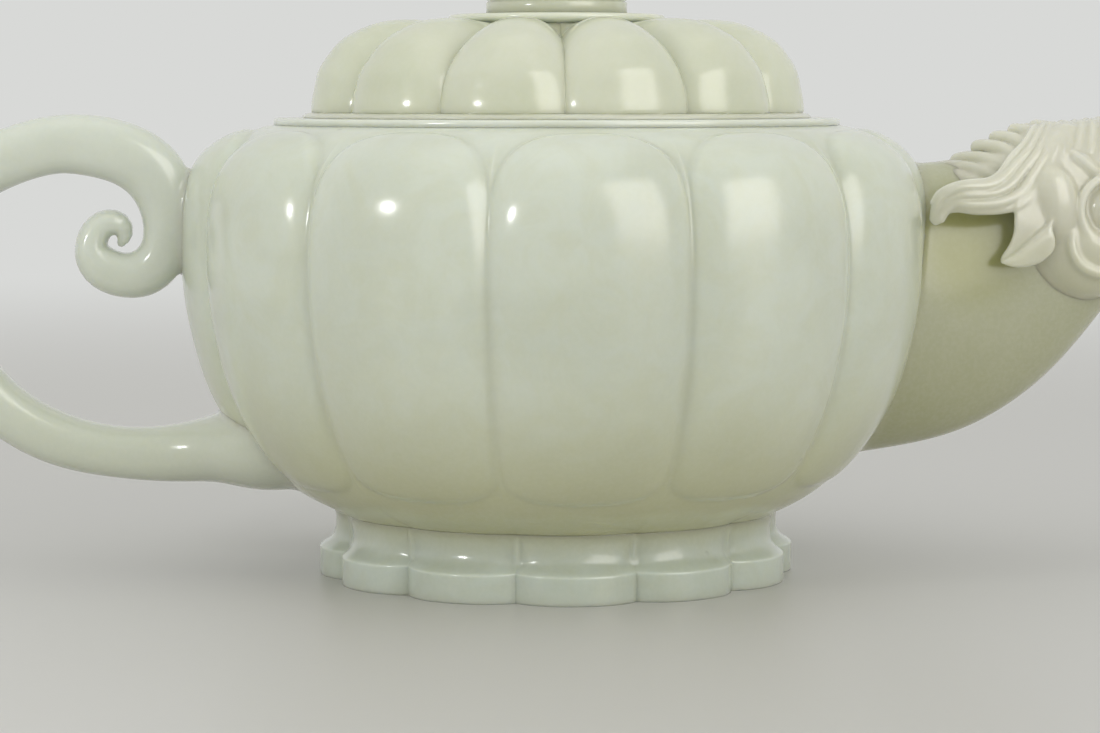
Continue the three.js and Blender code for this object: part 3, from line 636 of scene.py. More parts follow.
def egg(places, middle, radii, tilt=0.0):
    """An egg-shaped form, tilted in the side view."""
    off = places - np.array(middle, float)
    c, s = math.cos(math.radians(tilt)), math.sin(math.radians(tilt))
    turned_off = np.stack([off[:, 0] * c + off[:, 2] * s, off[:, 1], off[:, 2] * c - off[:, 0] * s], axis=1)
    radii = np.array(radii, float)
    near = np.linalg.norm(turned_off / radii, axis=1)
    steep = np.linalg.norm(turned_off / radii ** 2, axis=1)
    return np.where(steep > 1e-6, near * (near - 1) / np.maximum(steep, 1e-6), -radii.min())


def off_oval(rise, across, tall, wide, fullness):
    """How far outside an oval of the given half height and half width each place lies."""
    u, v = rise / tall, across / wide
    near = (u ** fullness + v ** fullness) ** (1 / fullness)
    steep = np.hypot(u / tall, v / wide)
    return np.where(steep > 1e-6, near * (near - 1) / np.maximum(steep, 1e-6), -np.minimum(tall, wide))


def off_segment(x, z, a, b):
    """The share of the way from a to b at which each place is nearest, and how far off it is there."""
    dx, dz = b[0] - a[0], b[1] - a[1]
    t = np.clip(((x - a[0]) * dx + (z - a[1]) * dz) / (dx * dx + dz * dz), 0, 1)
    return t, np.hypot(x - a[0] - t * dx, z - a[1] - t * dz)


# A form that is worked out only near itself gives this distance everywhere else
FAR = 3.0


def near_line(places, line, size):
    """Which places lie near a line whose rows start with x, z and y."""
    middle, room = line[:, [0, 2, 1]], size + FAR
    return np.all((places > middle.min(0) - room) & (places < middle.max(0) + room), axis=1)


def loop_bar(places, middle, radii, bar, normal):
    """A round bar bent into a ring, which lies square to its normal."""
    normal = np.array(normal, float) / np.linalg.norm(normal)
    up = np.array([0, 0, 1.0]) - normal[2] * normal
    up /= np.linalg.norm(up)
    along = np.cross(up, normal)
    turns = np.radians(np.linspace(0, 360, 30))[:, None]
    ring = np.array(middle, float) + radii[0] * np.cos(turns) * along + radii[1] * np.sin(turns) * up
    best = np.full(len(places), np.inf)
    for a, b in zip(ring[:-1], ring[1:]):
        d = b - a
        t = np.clip((places - a) @ d / (d @ d), 0, 1)
        best = np.minimum(best, np.linalg.norm(places - a - t[:, None] * d, axis=1))
    return best - bar


BLOCK = 4


def sampled(shape, low, high, step):
    """A form's distances on a grid. Away from the skin, one value fills a whole block of the grid."""
    blocks = np.ceil((high - low) / step / BLOCK).astype(int) + 1
    block_index = np.stack(np.meshgrid(*[np.arange(n) for n in blocks], indexing="ij"), axis=-1)
    middles = low + step * (BLOCK * block_index + (BLOCK - 1) / 2)
    field = shape(middles.reshape(-1, 3)).reshape(blocks)
    near = np.abs(field) < 1.05 * BLOCK * step
    for axis in range(3):
        field, near = np.repeat(field, BLOCK, axis), np.repeat(near, BLOCK, axis)
    field[near] = shape(low + step * np.argwhere(near))
    return field


def netted(field, low, step):
    """A net over a field's zero level: a point in each cell that it crosses, and the faces between."""
    cells = np.array(field.shape) - 1
    total, hits = np.zeros((*cells, 3)), np.zeros(cells)
    crossings = []
    for axis in range(3):
        one, two = (a for a in range(3) if a != axis)
        ahead, behind = [slice(None)] * 3, [slice(None)] * 3
        behind[axis], ahead[axis] = slice(0, -1), slice(1, None)
        first, second = field[tuple(behind)], field[tuple(ahead)]
        crossing = (first < 0) != (second < 0)
        crossings.append((crossing, first < 0))
        share = np.where(crossing, first / np.where(crossing, first - second, 1), 0)
        for p in (0, 1):
            for q in (0, 1):
                window = [slice(None)] * 3
                window[one], window[two] = slice(p, p + cells[one]), slice(q, q + cells[two])
                hit = crossing[tuple(window)]
                total[..., axis] += share[tuple(window)]
                total[..., one] += p * hit
                total[..., two] += q * hit
                hits += hit
    active = hits > 0
    number = np.full(cells, -1)
    number[active] = np.arange(active.sum())
    points = low + step * (np.argwhere(active) + total[active] / hits[active][:, None])
    faces = []
    for axis, (crossing, inward) in enumerate(crossings):
        one, two = (a for a in range(3) if a != axis)
        spot = np.argwhere(crossing)
        a, b = spot[:, one], spot[:, two]
        spot = spot[(a > 0) & (b > 0) & (a < cells[one]) & (b < cells[two])]
        ring = []
        for p, q in ((1, 1), (0, 1), (0, 0), (1, 0)):
            corner = spot.copy()
            corner[:, one] -= p
            corner[:, two] -= q
            ring.append(number[tuple(corner.T)])
        quad = np.stack(ring, axis=1)
        back = inward[tuple(spot.T)] == (axis == 1)
        quad[back] = quad[back][:, ::-1]
        faces.append(quad)
    return points, np.concatenate(faces)


def skin_of(shape, low, high, step):
    """The closed skin of a carved form, whose shape says how far outside the stone a place is."""
    low, high = np.array(low, float), np.array(high, float)
    points, faces = netted(sampled(shape, low, high, step), low, step)
    reach = 0.03
    for _ in range(3):
        here = shape(points)
        ahead = [shape(points + reach * way) for way in np.eye(3)]
        slope = np.stack([there - here for there in ahead], axis=1) / reach
        size = np.maximum((slope ** 2).sum(1), 0.05)
        points = points - np.clip(here / size, -step, step)[:, None] * slope
    return points, faces


def carved(name, shape, room, step, slot, *nodes):
    """A carved piece of the pot, from its shape, the room that it takes and the step of its net."""
    points, faces = skin_of(shape, *room, step)
    made = new_object(name, points, faces, MATERIALS[slot])
    return fit(made, "pot", slot, *nodes)


# How far a form reaches into its ground, and how deep its fillet's edge lies under the skin
JOINT_SINK, SKIRT_SINK = 0.5, 0.22

BELLY_TABLE_Z = np.linspace(BELLY_FOOT, SHOULDER, 260)


def belly_table():
    """The belly's radius at each height and share of the way from a petal's crest to its seam."""
    shares = np.linspace(0, 1, 41)
    radius, height = petal_skin(np.linspace(0, 1, 700), shares)
    lines = [np.interp(BELLY_TABLE_Z, height[:, i], radius[:, i]) for i in range(len(shares))]
    return np.stack(lines, axis=1)


BELLY_TABLE = belly_table()
BELLY_LEAN = np.gradient(BELLY_TABLE[:, 0], BELLY_TABLE_Z)


def off_belly(places):
    """How far outside the belly's own skin each place lies."""
    table = BELLY_TABLE
    row = np.clip((places[:, 2] - BELLY_FOOT) / (SHOULDER - BELLY_FOOT), 0, 1) * (len(table) - 1)
    turn = np.arctan2(places[:, 1], places[:, 0]) / HALF_PITCH
    column = np.abs((turn + 1) % 2 - 1) * (table.shape[1] - 1)
    i, j = np.minimum(row.astype(int), len(table) - 2), np.minimum(column.astype(int), table.shape[1] - 2)
    up, over = row - i, column - j
    radius = ((1 - up) * ((1 - over) * table[i, j] + over * table[i, j + 1])
              + up * ((1 - over) * table[i + 1, j] + over * table[i + 1, j + 1]))
    lean = np.clip(np.interp(places[:, 2], BELLY_TABLE_Z, BELLY_LEAN), -1.5, 1.5)
    return (np.hypot(places[:, 0], places[:, 1]) - radius) / np.sqrt(1 + lean ** 2)


def rooted(stone, ground, fillet):
    """A form that grows out of its ground. Its fillet runs out just under the ground's skin."""
    joined = soft_join(stone, ground + SKIRT_SINK, fillet)
    return np.maximum(np.maximum(joined, stone - fillet), -JOINT_SINK - ground)


# The handle

# How far the handle's bend and the beast's muzzle reach out from the pot's axis
REACH = 92
STAND = REACH - BELLY_RADIUS
HANDLE_TOP, HANDLE_FOOT = 60.5, 17.2
BAR_HALF_HEIGHT, BAR_HALF_WIDTH, BAR_FULLNESS = 4, 4.3, 2.5
ROOT_FILLET = 1.4
HANDLE_ROOM, HANDLE_STEP = ((-93.5, -13.5, 10), (-36, 13.5, 67)), 0.42
# The curl, as rows of x, z, half height and half width
CURL_TIP = [
    (-60.98, 46.75, 0.6, 1.2), (-60.6, 47.6, 0.98, 1.8), (-60.71, 48.74, 1.36, 2.3),
    (-61.62, 49.48, 1.7, 2.7), (-63.0, 49.49, 1.88, 2.9), (-64.2, 48.66, 2.02, 3.0),
    (-64.95, 47.28, 2.16, 3.15), (-65.11, 45.66, 2.34, 3.3), (-64.17, 43.89, 2.8, 3.5),
    (-61.0, 42.3, 3.1, 3.7), (-57.76, 42.67, 3.3, 3.9), (-55.3, 45.24, 3.3, 4.1),
]
# The bar from the curl round to its lower root, as shares of the way out and up, and of its size
SCROLL = [
    (0.046, 0.73, 0.84, 1), (0.052, 0.83, 1.02, 1), (0.105, 0.915, 1.1, 1), (0.193, 0.967, 1.09, 1),
    (0.314, 0.995, 1.06, 1), (0.413, 1, 1.02, 1), (0.524, 0.982, 1, 1),
    (0.702, 0.916, 1, 1), (0.79, 0.862, 0.99, 1), (0.86, 0.775, 0.98, 1), (0.893, 0.66, 0.965, 1),
    (0.885, 0.53, 0.95, 1), (0.84, 0.4, 0.94, 1), (0.762, 0.283, 0.93, 1),
    (0.647, 0.163, 0.92, 1), (0.463, 0.058, 0.92, 1), (0.198, 0.002, 0.9, 1.02), (0.022, 0, 1, 1.2),
    (-0.143, 0.015, 1.2, 1.8), (-0.298, 0.03, 1.6, 2.7), (-0.441, 0.06, 1.8, 2.9),
]


def handle():
    """One bar from its curl over the top and down to its root in the belly."""
    rows = [(x, z, 0, half, wide) for x, z, half, wide in CURL_TIP]
    for out, up, half, wide in SCROLL:
        place = -(BELLY_RADIUS + STAND * out), HANDLE_FOOT + (HANDLE_TOP - HANDLE_FOOT) * up
        rows.append((*place, 0, BAR_HALF_HEIGHT * half, BAR_HALF_WIDTH * wide))
    line = bend_through(rows, 190)

    def shape(places):
        return rooted(strand_chain(places, line, BAR_FULLNESS), off_belly(places), ROOT_FILLET)

    return carved("scroll_handle", shape, HANDLE_ROOM, HANDLE_STEP, "handle_jade", "handle")


def strand_chain(places, line, fullness):
    """A bar drawn in the side view. Rows hold x, z, y and the half height and half width."""
    result = np.full(len(places), FAR)
    for start in range(0, len(line) - 1, 10):
        part = line[start:start + 11]
        here = near_line(places, part, part[:, 3:5].max())
        if here.any():
            x, y, z = places[here].T
            best = result[here]
            for a, b in zip(part[:-1], part[1:]):
                t, side = off_segment(x, z, a, b)
                tall, wide = a[3] + t * (b[3] - a[3]), a[4] + t * (b[4] - a[4])
                best = np.minimum(best, off_oval(side, np.abs(y), tall, wide, fullness))
            result[here] = best
    return result


# The spout

NECK_FOOT, NECK_RISE, NECK_HALF_WIDTH, NECK_FULLNESS = 16, 42, 10.5, 2.17
NECK_ROOM, NECK_STEP = ((42, -14, 14), (83, 14, 61)), 0.5
# The neck's sections, as the shares at which its lower line and its upper line are, and its width
NECK = [
    (-0.331, 0, -0.331, 0.976, 1.06), (-0.061, 0.036, -0.099, 0.988, 1), (0.13, 0.083, 0.028, 0.995, 0.94),
    (0.335, 0.186, 0.143, 1, 0.88), (0.498, 0.319, 0.276, 1, 0.84), (0.628, 0.464, 0.408, 0.99, 0.8),
    (0.705, 0.56, 0.518, 0.95, 0.76),
]
NECK_ROWS = [
    (BELLY_RADIUS + STAND * a, NECK_FOOT + NECK_RISE * b, BELLY_RADIUS + STAND * c, NECK_FOOT + NECK_RISE * d,
     NECK_HALF_WIDTH * w) for a, b, c, d, w in NECK]
BORE_FOOT, BORE_RISE, BORE_HALF, BORE_TALLER, BORE_WIDER, BORE_FULLNESS = 33, 29, 4, 5, 2, 2.0
# The bore's middle line as shares, and how much taller and wider than at the lip it is
BORE = [
    (-0.22, -0.01, 1, 1), (0.055, 0.05, 0.86, 0.86), (0.276, 0.17, 0.55, 0.6), (0.474, 0.35, 0.28, 0.36),
    (0.656, 0.56, 0.1, 0.12), (0.794, 0.75, 0.02, 0), (0.914, 0.88, 0, 0), (1.103, 1.06, 0, 0),
]
BORE_LINE = bend_through([
    (BELLY_RADIUS + STAND * x, BORE_FOOT + BORE_RISE * z, 0, BORE_HALF + BORE_TALLER * tall,
     BORE_HALF + BORE_WIDER * wide) for x, z, tall, wide in BORE], 34)


def oval_loft(places, rows, fullness, steps=40):
    """How far outside a loft of upright oval sections each place lies."""
    sections = bend_through(rows, steps, 4)
    middle = (sections[:, :2] + sections[:, 2:4]) / 2
    half = (sections[:, 2:4] - sections[:, :2]) / 2
    tall = np.linalg.norm(half, axis=1)
    up = half / tall[:, None]
    wide = sections[:, 4]
    x, y, z = places.T
    front = np.stack([up[:, 1], -up[:, 0]], axis=1)
    # The section whose plane holds the place is found from the change of side between planes
    side = (x[:, None] - middle[:, 0]) * front[:, 0] + (z[:, None] - middle[:, 1]) * front[:, 1]
    index = np.clip((side > 0).sum(1) - 1, 0, steps - 2)
    pick = np.arange(len(x))
    before, after = side[pick, index], side[pick, index + 1]
    share = np.clip(before / np.where(np.abs(before - after) > 1e-9, before - after, 1), 0, 1)

    def between(values):
        part = share if values.ndim == 1 else share[:, None]
        return values[index] + part * (values[index + 1] - values[index])

    centre, way, high, broad = between(middle), between(up), between(tall), between(wide)
    rise = (x - centre[:, 0]) * way[:, 0] + (z - centre[:, 1]) * way[:, 1]
    off = off_oval(np.abs(rise), np.abs(y), high, broad, fullness)
    return np.maximum(off, np.maximum(-side[:, 0], side[:, -1]))


def neck_form(places):
    return oval_loft(places, NECK_ROWS, NECK_FULLNESS)


def bore_form(places):
    return strand_chain(places, BORE_LINE, BORE_FULLNESS)


def spout_neck():
    """The bored neck that rises out of a petal, up to where the head begins."""
    def shape(places):
        return np.maximum(rooted(neck_form(places), off_belly(places), ROOT_FILLET), -bore_form(places))

    return carved("spout_neck_carved", shape, NECK_ROOM, NECK_STEP, "spout_jade", "spout_neck")


# The beast's head

def rope(places, line):
    """A round bar through rows of x, z, y and radius."""
    line = np.array(line, float)
    line = bend_through(line, max(6, int(run_along(line[:, :3])[-1] / 0.45)), 3)
    here = near_line(places, line, line[:, 3].max())
    result = np.full(len(places), FAR)
    near = places[here]
    best = np.full(len(near), FAR)
    for a, b in zip(line[:-1], line[1:]):
        start, step = a[[0, 2, 1]], b[[0, 2, 1]] - a[[0, 2, 1]]
        off = near - start
        t = np.clip(off @ step / (step @ step), 0, 1)
        off -= t[:, None] * step
        best = np.minimum(best, np.sqrt(np.einsum("ij,ij->i", off, off)) - a[3] - t * (b[3] - a[3]))
    result[here] = best
    return result


# The head's sections, as x and z of the lower line, x and z of the upper line, and half width
HEAD = [
    (63.4, 49.5, 63.0, 58.4, 3.4), (64.7, 46.4, 64.2, 60.2, 6.2), (67.0, 43.0, 66.0, 61.7, 8.9),
    (70.5, 40.3, 69.0, 62.6, 10.1), (75.5, 39.3, 73.5, 62.9, 10.3), (80.3, 39.6, 78.4, 63.3, 10.1),
    (84.6, 43.0, 81.8, 63.9, 9.3), (88.1, 47.3, 85.4, 64.7, 8.2), (90.7, 51.3, 88.5, 65.8, 7.1),
    (92, 53.6, 90.4, 66.6, 6.7),
]
HEAD_FULLNESS = 2.6
CHEEK = (74.6, 6.6, 46.1), (9.3, 4.9, 7.4)
# The crest over the crown and down the nape, a bar whose height is this share of its width. Its
# rows, like those of every rope, hold x, z, y and radius
CREST_FLATNESS = 0.46
NAPE_CREST = [
    (53, 53.3, 0, 1.9), (57, 54.1, 0, 2.4), (60, 55.5, 0, 2.8), (62.5, 56.7, 0, 3.0), (65, 57.9, 0, 3.0),
    (67.5, 58.8, 0, 3.0), (70, 59.5, 0, 3.0), (72, 60.0, 0, 2.9),
]
CROWN_CREST = [
    (68, 59.9, 0, 3.0), (72, 60.35, 0, 3.0), (77.6, 60.95, 0, 3.0), (84, 61.7, 0, 2.8), (87, 62.6, 0, 2.2),
]


def crest_form(places, line):
    return rope(places * (1, CREST_FLATNESS, 1), line)


def skull(places):
    """The bare head with its cheek and its crest, before anything is carved on its side."""
    head = soft_join(oval_loft(places, HEAD, HEAD_FULLNESS), egg(places, *CHEEK), 1.8)
    return soft_join(head, crest_form(places, CROWN_CREST), 1.2)


def side_of(form, spots, rise):
    """How far out from the middle plane a form's side lies, give or take a rise; 0 off the form."""
    tries = np.arange(13.6, 0, -0.05)
    spots = np.array(spots, float)
    x, z = np.repeat(spots[:, 0], len(tries)), np.repeat(spots[:, 1], len(tries))
    inside = form(np.stack([x, np.tile(tries, len(spots)), z], axis=1)).reshape(len(spots), -1) < rise
    return np.where(inside.any(axis=1), tries[np.argmax(inside, axis=1)], 0)


def laid(form, line, rise=0.0):
    """A line drawn in the side view, as x, z and radius, laid on the side of a form."""
    sides = side_of(form, [(x, z) for x, z, _ in line], rise)
    return [(x, z, y, radius) for (x, z, radius), y in zip(line, sides)]


# Lines on the side of the head, in the side view, as x, z and radius
BROW = laid(skull, [
    (71.9, 59.2, 0.25), (72.53, 58.7, 0.42), (73.81, 57.75, 0.5), (74.94, 56.7, 0.55), (76.8, 56.4, 0.75),
    (79.2, 57.1, 0.95), (81.6, 58.7, 1.0), (83.6, 60.8, 0.9), (85.4, 63.0, 0.6)], 0.05)
CHEEK_RIDGE = laid(skull, [
    (71.4, 47.9, 0.15), (71.25, 46.67, 0.4), (71.73, 44.8, 0.55), (72.69, 43.56, 0.6), (73.97, 42.77, 0.62),
    (75.7, 42.4, 0.62), (78.2, 42.8, 0.62), (81.0, 44.6, 0.62), (83.6, 47.2, 0.6), (86.2, 50.4, 0.5),
    (88.2, 53.2, 0.3)])
LIP = laid(skull, [
    (90.3, 65.7, 0.7), (89.2, 63.6, 0.8), (87.3, 60.5, 0.85), (85.3, 57.1, 0.85), (83.7, 54.1, 0.75),
    (83.4, 51.9, 0.6), (84.5, 50.6, 0.4)])
MOUTH_LINE = laid(skull, [(92.0, 58.6, 0.4), (88.8, 56.6, 0.45), (86.4, 54.0, 0.4), (85.2, 52.2, 0.25)], 0.15)
# The short combed hair over the forehead, each strand from the crown to the hairline
HAIRLINE = [
    [(69.9, 63.0), (69.2, 61.0), (68.7, 59.3), (68.2, 57.7)],
    [(71.0, 63.1), (70.35, 61.4), (69.95, 60.0), (69.6, 58.4)],
    [(72.7, 63.3), (72.0, 61.8), (71.5, 60.4), (71.1, 58.9)],
    [(74.7, 63.4), (73.9, 62.3), (73.3, 61.2), (72.6, 59.7)],
    [(76.3, 63.6), (75.5, 62.4), (75.0, 61.0), (74.4, 59.3)],
    [(78.2, 63.8), (77.3, 62.5), (76.8, 61.2), (76.2, 59.6)],
    [(80.2, 64.1), (79.3, 62.9), (78.7, 61.7), (78.1, 60.3)],
    [(82.2, 64.6), (81.3, 63.5), (80.7, 62.4), (80.2, 61.2)],
]
HAIR_RADII = (0.45, 0.5, 0.5, 0.3)
HAIRLINE_STRANDS = [
    laid(skull, [(x, z, radius) for (x, z), radius in zip(line, HAIR_RADII)], -0.2) for line in HAIRLINE]
# The eye in the side view, how far out the head's side is there, and the way the eye faces
EYE = (77.0, 51.3)
EYE_SIDE = side_of(skull, [EYE], 0.0)[0]
EYE_FACING = (0.1, 1, 0)
TEMPLE = (69.1, 10.3, 52.3), (3.0, 2.0, 4.8), 6
NOSTRIL_SWELL = (87.6, 3.5, 65.0), (2.5, 2.0, 1.7), 18
NOSTRIL = (89.2, 4.4, 65.5), (0.9, 0.9, 0.7), 18
POUR_LIP = (90.3, 0, 60.6), (5.3, 5.6), 0.98, (1, 0, 0.12)
# The swell under the hair that sweeps back from the forehead
SWEEP_BED = [
    (71.6, 62.0, 4.6, 1.0), (70.2, 60.6, 6.0, 1.3), (68.6, 58.2, 7.9, 1.5), (67.2, 55.4, 9.2, 1.6),
    (66.0, 53.2, 9.8, 1.5), (64.6, 51.9, 10.2, 1.2),
]


def with_eye(stone, places):
    """The stone with a socket, a ring round it, the eyeball, and the pupil's ring cut into that."""
    at = lambda along, out: (EYE[0] + along, EYE_SIDE + out, EYE[1])
    stone = soft_cut(stone, egg(places, at(0, 1.3), (4.5, 2.1, 4.6)), 0.8)
    stone = soft_join(stone, loop_bar(places, at(0, -0.15), (4.5, 4.65), 0.62, EYE_FACING), 0.5)
    stone = soft_join(stone, egg(places, at(0.2, -1.1), (3.5, 2.0, 3.6)), 0.3)
    return soft_cut(stone, loop_bar(places, at(0.7, 0.95), (1.6, 1.6), 0.25, EYE_FACING), 0.2)


def head_form(places):
    """The head with its temple, eye, brow, cheek, mouth, nostrils and forehead hair."""
    stone = soft_join(skull(places), egg(places, *TEMPLE), 1.2)
    stone = with_eye(stone, places)
    for line, soft in ((BROW, 0.8), (CHEEK_RIDGE, 0.8), (LIP, 0.9)):
        stone = soft_join(stone, rope(places, line), soft)
    stone = soft_cut(stone, rope(places, MOUTH_LINE), 0.4)
    stone = soft_join(stone, egg(places, *NOSTRIL_SWELL), 1.2)
    stone = soft_cut(stone, egg(places, *NOSTRIL), 0.4)
    stone = soft_join(stone, rope(places, SWEEP_BED), 1.5)
    for line in HAIRLINE_STRANDS:
        stone = soft_join(stone, rope(places, line), 0.35)
    return stone


def mirrored(places):
    """Places moved to the side that the head is drawn on."""
    return places * (1, 0, 1) + np.abs(places) * (0, 1, 0)


# The mane's locks, in pairs that part over the nape, from the forehead down
MANE_LOCKS = [
    [(68.6, 62.75, 0, 1.08), (69.6, 62.6, 1.8, 1.05), (70.5, 62.1, 3.6, 1.0), (71.2, 61.1, 5.4, 0.7)],
    [(65.6, 62.2, 0, 1.08), (66.7, 62.1, 1.8, 1.08), (67.7, 61.5, 3.7, 1.02), (68.3, 60.3, 5.7, 0.8)],
    [(62.9, 61.15, 0, 1.08), (64.2, 61.1, 1.8, 1.1), (65.4, 60.5, 3.8, 1.05), (66.3, 59.2, 6.0, 0.85)],
    [(60.3, 59.85, 0, 1.08), (61.9, 59.9, 1.8, 1.1), (63.5, 59.4, 3.9, 1.05), (64.8, 58.1, 6.2, 0.85)],
    [(57.4, 58.0, 0, 1.08), (59.4, 58.25, 1.8, 1.1), (61.5, 57.9, 4.0, 1.05), (63.4, 56.7, 6.4, 0.85)],
    [(54.9, 56.65, 0, 1.05), (57.0, 56.95, 1.8, 1.05), (59.4, 56.6, 4.1, 1.0), (61.7, 55.4, 6.6, 0.8)],
    [(53.2, 55.5, 0, 0.9), (55.0, 55.8, 2.0, 0.95), (57.6, 55.4, 4.4, 0.9), (60.2, 54.4, 6.8, 0.75)],
]


# The hair that sweeps from the crown down the side of the head and back into a free lock
SWEEPS = [
    [(68.0, 62.9, 2.6, 0.4), (67.0, 62.3, 4.7, 0.5), (65.3, 60.45, 7.1, 0.55), (63.0, 58.5, 8.8, 0.55),
     (61.6, 56.85, 9.9, 0.52), (60.1, 55.75, 10.8, 0.46), (58.0, 55.35, 11.5, 0.42), (55.8, 55.2, 11.8, 0.4),
     (53.3, 54.45, 11.8, 0.4), (52.1, 53.6, 11.6, 0.4), (51.4, 52.4, 11.4, 0.35)],
    [(69.1, 62.95, 2.6, 0.45), (68.0, 62.2, 4.9, 0.6), (66.0, 59.9, 7.9, 0.68), (63.5, 57.55, 9.5, 0.72),
     (61.5, 55.75, 10.7, 0.75), (59.2, 54.75, 11.5, 0.8), (56.6, 54.6, 11.75, 0.8), (53.9, 54.15, 11.75, 0.8),
     (52.6, 53.1, 11.5, 0.8), (52.0, 51.7, 11.3, 0.8), (51.75, 50.2, 11.1, 0.7)],
    [(70.2, 63.0, 2.6, 0.45), (69.1, 62.1, 5.0, 0.6), (66.95, 59.4, 8.5, 0.68), (64.5, 56.75, 9.9, 0.72),
     (62.7, 55.0, 10.9, 0.72), (60.3, 53.75, 11.6, 0.74), (57.5, 53.5, 11.85, 0.74),
     (54.7, 53.25, 11.85, 0.74), (53.3, 52.4, 11.6, 0.74), (52.6, 51.1, 11.4, 0.74),
     (52.0, 49.85, 11.1, 0.65)],
    [(71.3, 63.05, 2.6, 0.4), (70.0, 61.9, 5.4, 0.55), (67.6, 58.7, 9.0, 0.66), (65.4, 55.6, 10.4, 0.74),
     (63.6, 53.6, 11.2, 0.8), (61.2, 52.5, 11.8, 0.85), (58.8, 52.15, 11.95, 0.85),
     (56.3, 52.15, 11.95, 0.85), (54.4, 52.2, 11.8, 0.8), (53.2, 51.3, 11.5, 0.75), (52.6, 50.2, 11.3, 0.7)],
    [(69.6, 60.6, 7.4, 0.3), (68.0, 58.6, 8.9, 0.45), (66.2, 55.2, 10.5, 0.55), (64.9, 53.0, 11.2, 0.62),
     (63.0, 51.85, 11.6, 0.65), (61.0, 51.4, 11.7, 0.65), (58.8, 51.3, 11.8, 0.65), (56.6, 51.4, 11.8, 0.65),
     (54.9, 51.6, 11.7, 0.6), (53.9, 51.4, 11.5, 0.5)],
]
# The body of that hair, under its strands
SWEEP_CORES = [
    [(68.0, 61.2, 5.6, 0.9), (65.4, 58.6, 7.8, 1.1), (63.2, 56.2, 9.4, 1.2), (60.8, 54.2, 10.7, 1.15),
     (57.4, 53.6, 11.0, 1.05), (54.6, 53.3, 11.1, 1.0), (53.0, 51.8, 11.0, 0.9), (52.2, 50.2, 10.9, 0.7)],
    [(67.6, 57.8, 8.6, 0.9), (65.2, 54.8, 10.1, 1.0), (62.4, 52.9, 10.9, 1.0), (58.6, 52.3, 11.1, 0.9),
     (55.4, 52.2, 11.1, 0.8)],
    [(69.4, 59.8, 7.7, 0.9), (67.8, 56.8, 9.1, 1.2), (66.8, 54.0, 9.9, 1.35), (66.0, 52.0, 10.0, 1.2)],
]


# The ear's fold, from its tip to the temple, and the outlines of its leaf and of its rolled lobe
EAR_FOLD = [(61.05, 44.25), (62.81, 45.06), (64.41, 46.29), (66.02, 47.7), (67.44, 48.94), (68.4, 49.9)]
EAR_LEAF = [
    (68.4, 49.9), (69.2, 51.8), (68.6, 54.0), (66.0, 55.0), (63.8, 54.2), (63.0, 52.6), (62.9, 51.1),
    (62.87, 50.02), (62.85, 48.6), (62.51, 47.19), (61.98, 46.12), (61.36, 45.24), (60.97, 44.53),
]
EAR_LOBE = [
    (61.0, 44.0), (62.1, 43.55), (63.55, 43.37), (64.99, 43.48), (66.61, 43.97), (67.68, 44.68),
    (68.39, 45.47), (68.67, 46.63), (68.5, 47.69), (68.2, 48.6),
]
EAR_SIDE, EAR_ROOM = 12.15, ((59, 7, 41), (71.5, 15, 57))


def flat_distance(x, z, outline):
    """How far outside a closed outline each place lies, in the side view."""
    ring = np.array(outline, float)
    best, inside = np.full(len(x), 1e9), np.zeros(len(x), bool)
    for a, b in zip(ring, np.roll(ring, -1, axis=0)):
        best = np.minimum(best, off_segment(x, z, a, b)[1])
        crosses = (a[1] > z) != (b[1] > z)
        rise = np.where(crosses, b[1] - a[1], 1)
        inside ^= crosses & (x < a[0] + (z - a[1]) / rise * (b[0] - a[0]))
    return np.where(inside, -best, best)


def plate(places, outline, middle, half, edge):
    """A plate with soft edges that follows an outline in the side view and a curved middle face."""
    x, y, z = places.T
    across = flat_distance(x, z, outline) + edge
    through = np.abs(y - middle) - half + edge
    outside = np.hypot(np.maximum(across, 0), np.maximum(through, 0))
    return outside + np.minimum(np.maximum(across, through), 0) - edge


def ear_form(places):
    """The ear: a leaf that is hollowed towards its fold, and a lobe that rolls back over it."""
    fold = bend_through(EAR_FOLD, 24)
    along = (fold[-1] - fold[0]) / np.linalg.norm(fold[-1] - fold[0])
    leaf = np.concatenate([fold, bend_through(EAR_LEAF, 50)[1:-1]])
    lobe = np.concatenate([fold[::-1] + 0.25 * along[::-1] * (-1, 1), bend_through(EAR_LOBE, 50)])
    x, y, z = places.T
    past_fold = (x - fold[0, 0]) * along[1] - (z - fold[0, 1]) * along[0]
    past, before = np.clip(past_fold, 0, 5), np.clip(-past_fold, 0, 5)
    side = EAR_SIDE - 0.05 * np.maximum(z - 44, 0) - 0.03 * np.maximum(z - 47, 0) ** 2
    dip = side - 0.42 + 0.16 * before ** 1.2
    roll = side + 0.35 - 0.085 * np.maximum(past - 0.6, 0) ** 2 - 0.25 * np.exp(-past / 0.4)
    return soft_join(plate(places, leaf, dip, 0.55, 0.4), plate(places, lobe, roll, 0.62, 0.55), 0.4)


def ear_form_near(places):
    """The ear, worked out only where it is near."""
    here = np.all((places > EAR_ROOM[0]) & (places < EAR_ROOM[1]), axis=1)
    result = np.full(len(places), FAR)
    result[here] = np.minimum(ear_form(places[here]), FAR)
    return result


def many(places, lines, soft):
    """Ropes along many lines, joined."""
    stone = rope(places, lines[0])
    for line in lines[1:]:
        stone = soft_join(stone, rope(places, line), soft)
    return stone


# The flat front of the muzzle, square to its normal in the side view, and how far the head's
# stone may reach into the belly
FRONT_PLACE, FRONT_NORMAL = np.array([91.0, 60.0]), np.array([0.993, 0.12])
BELLY_SINK = 0.3
HEAD_ROOM, HEAD_STEP = ((49, -15, 36.5), (94, 15, 69)), 0.27


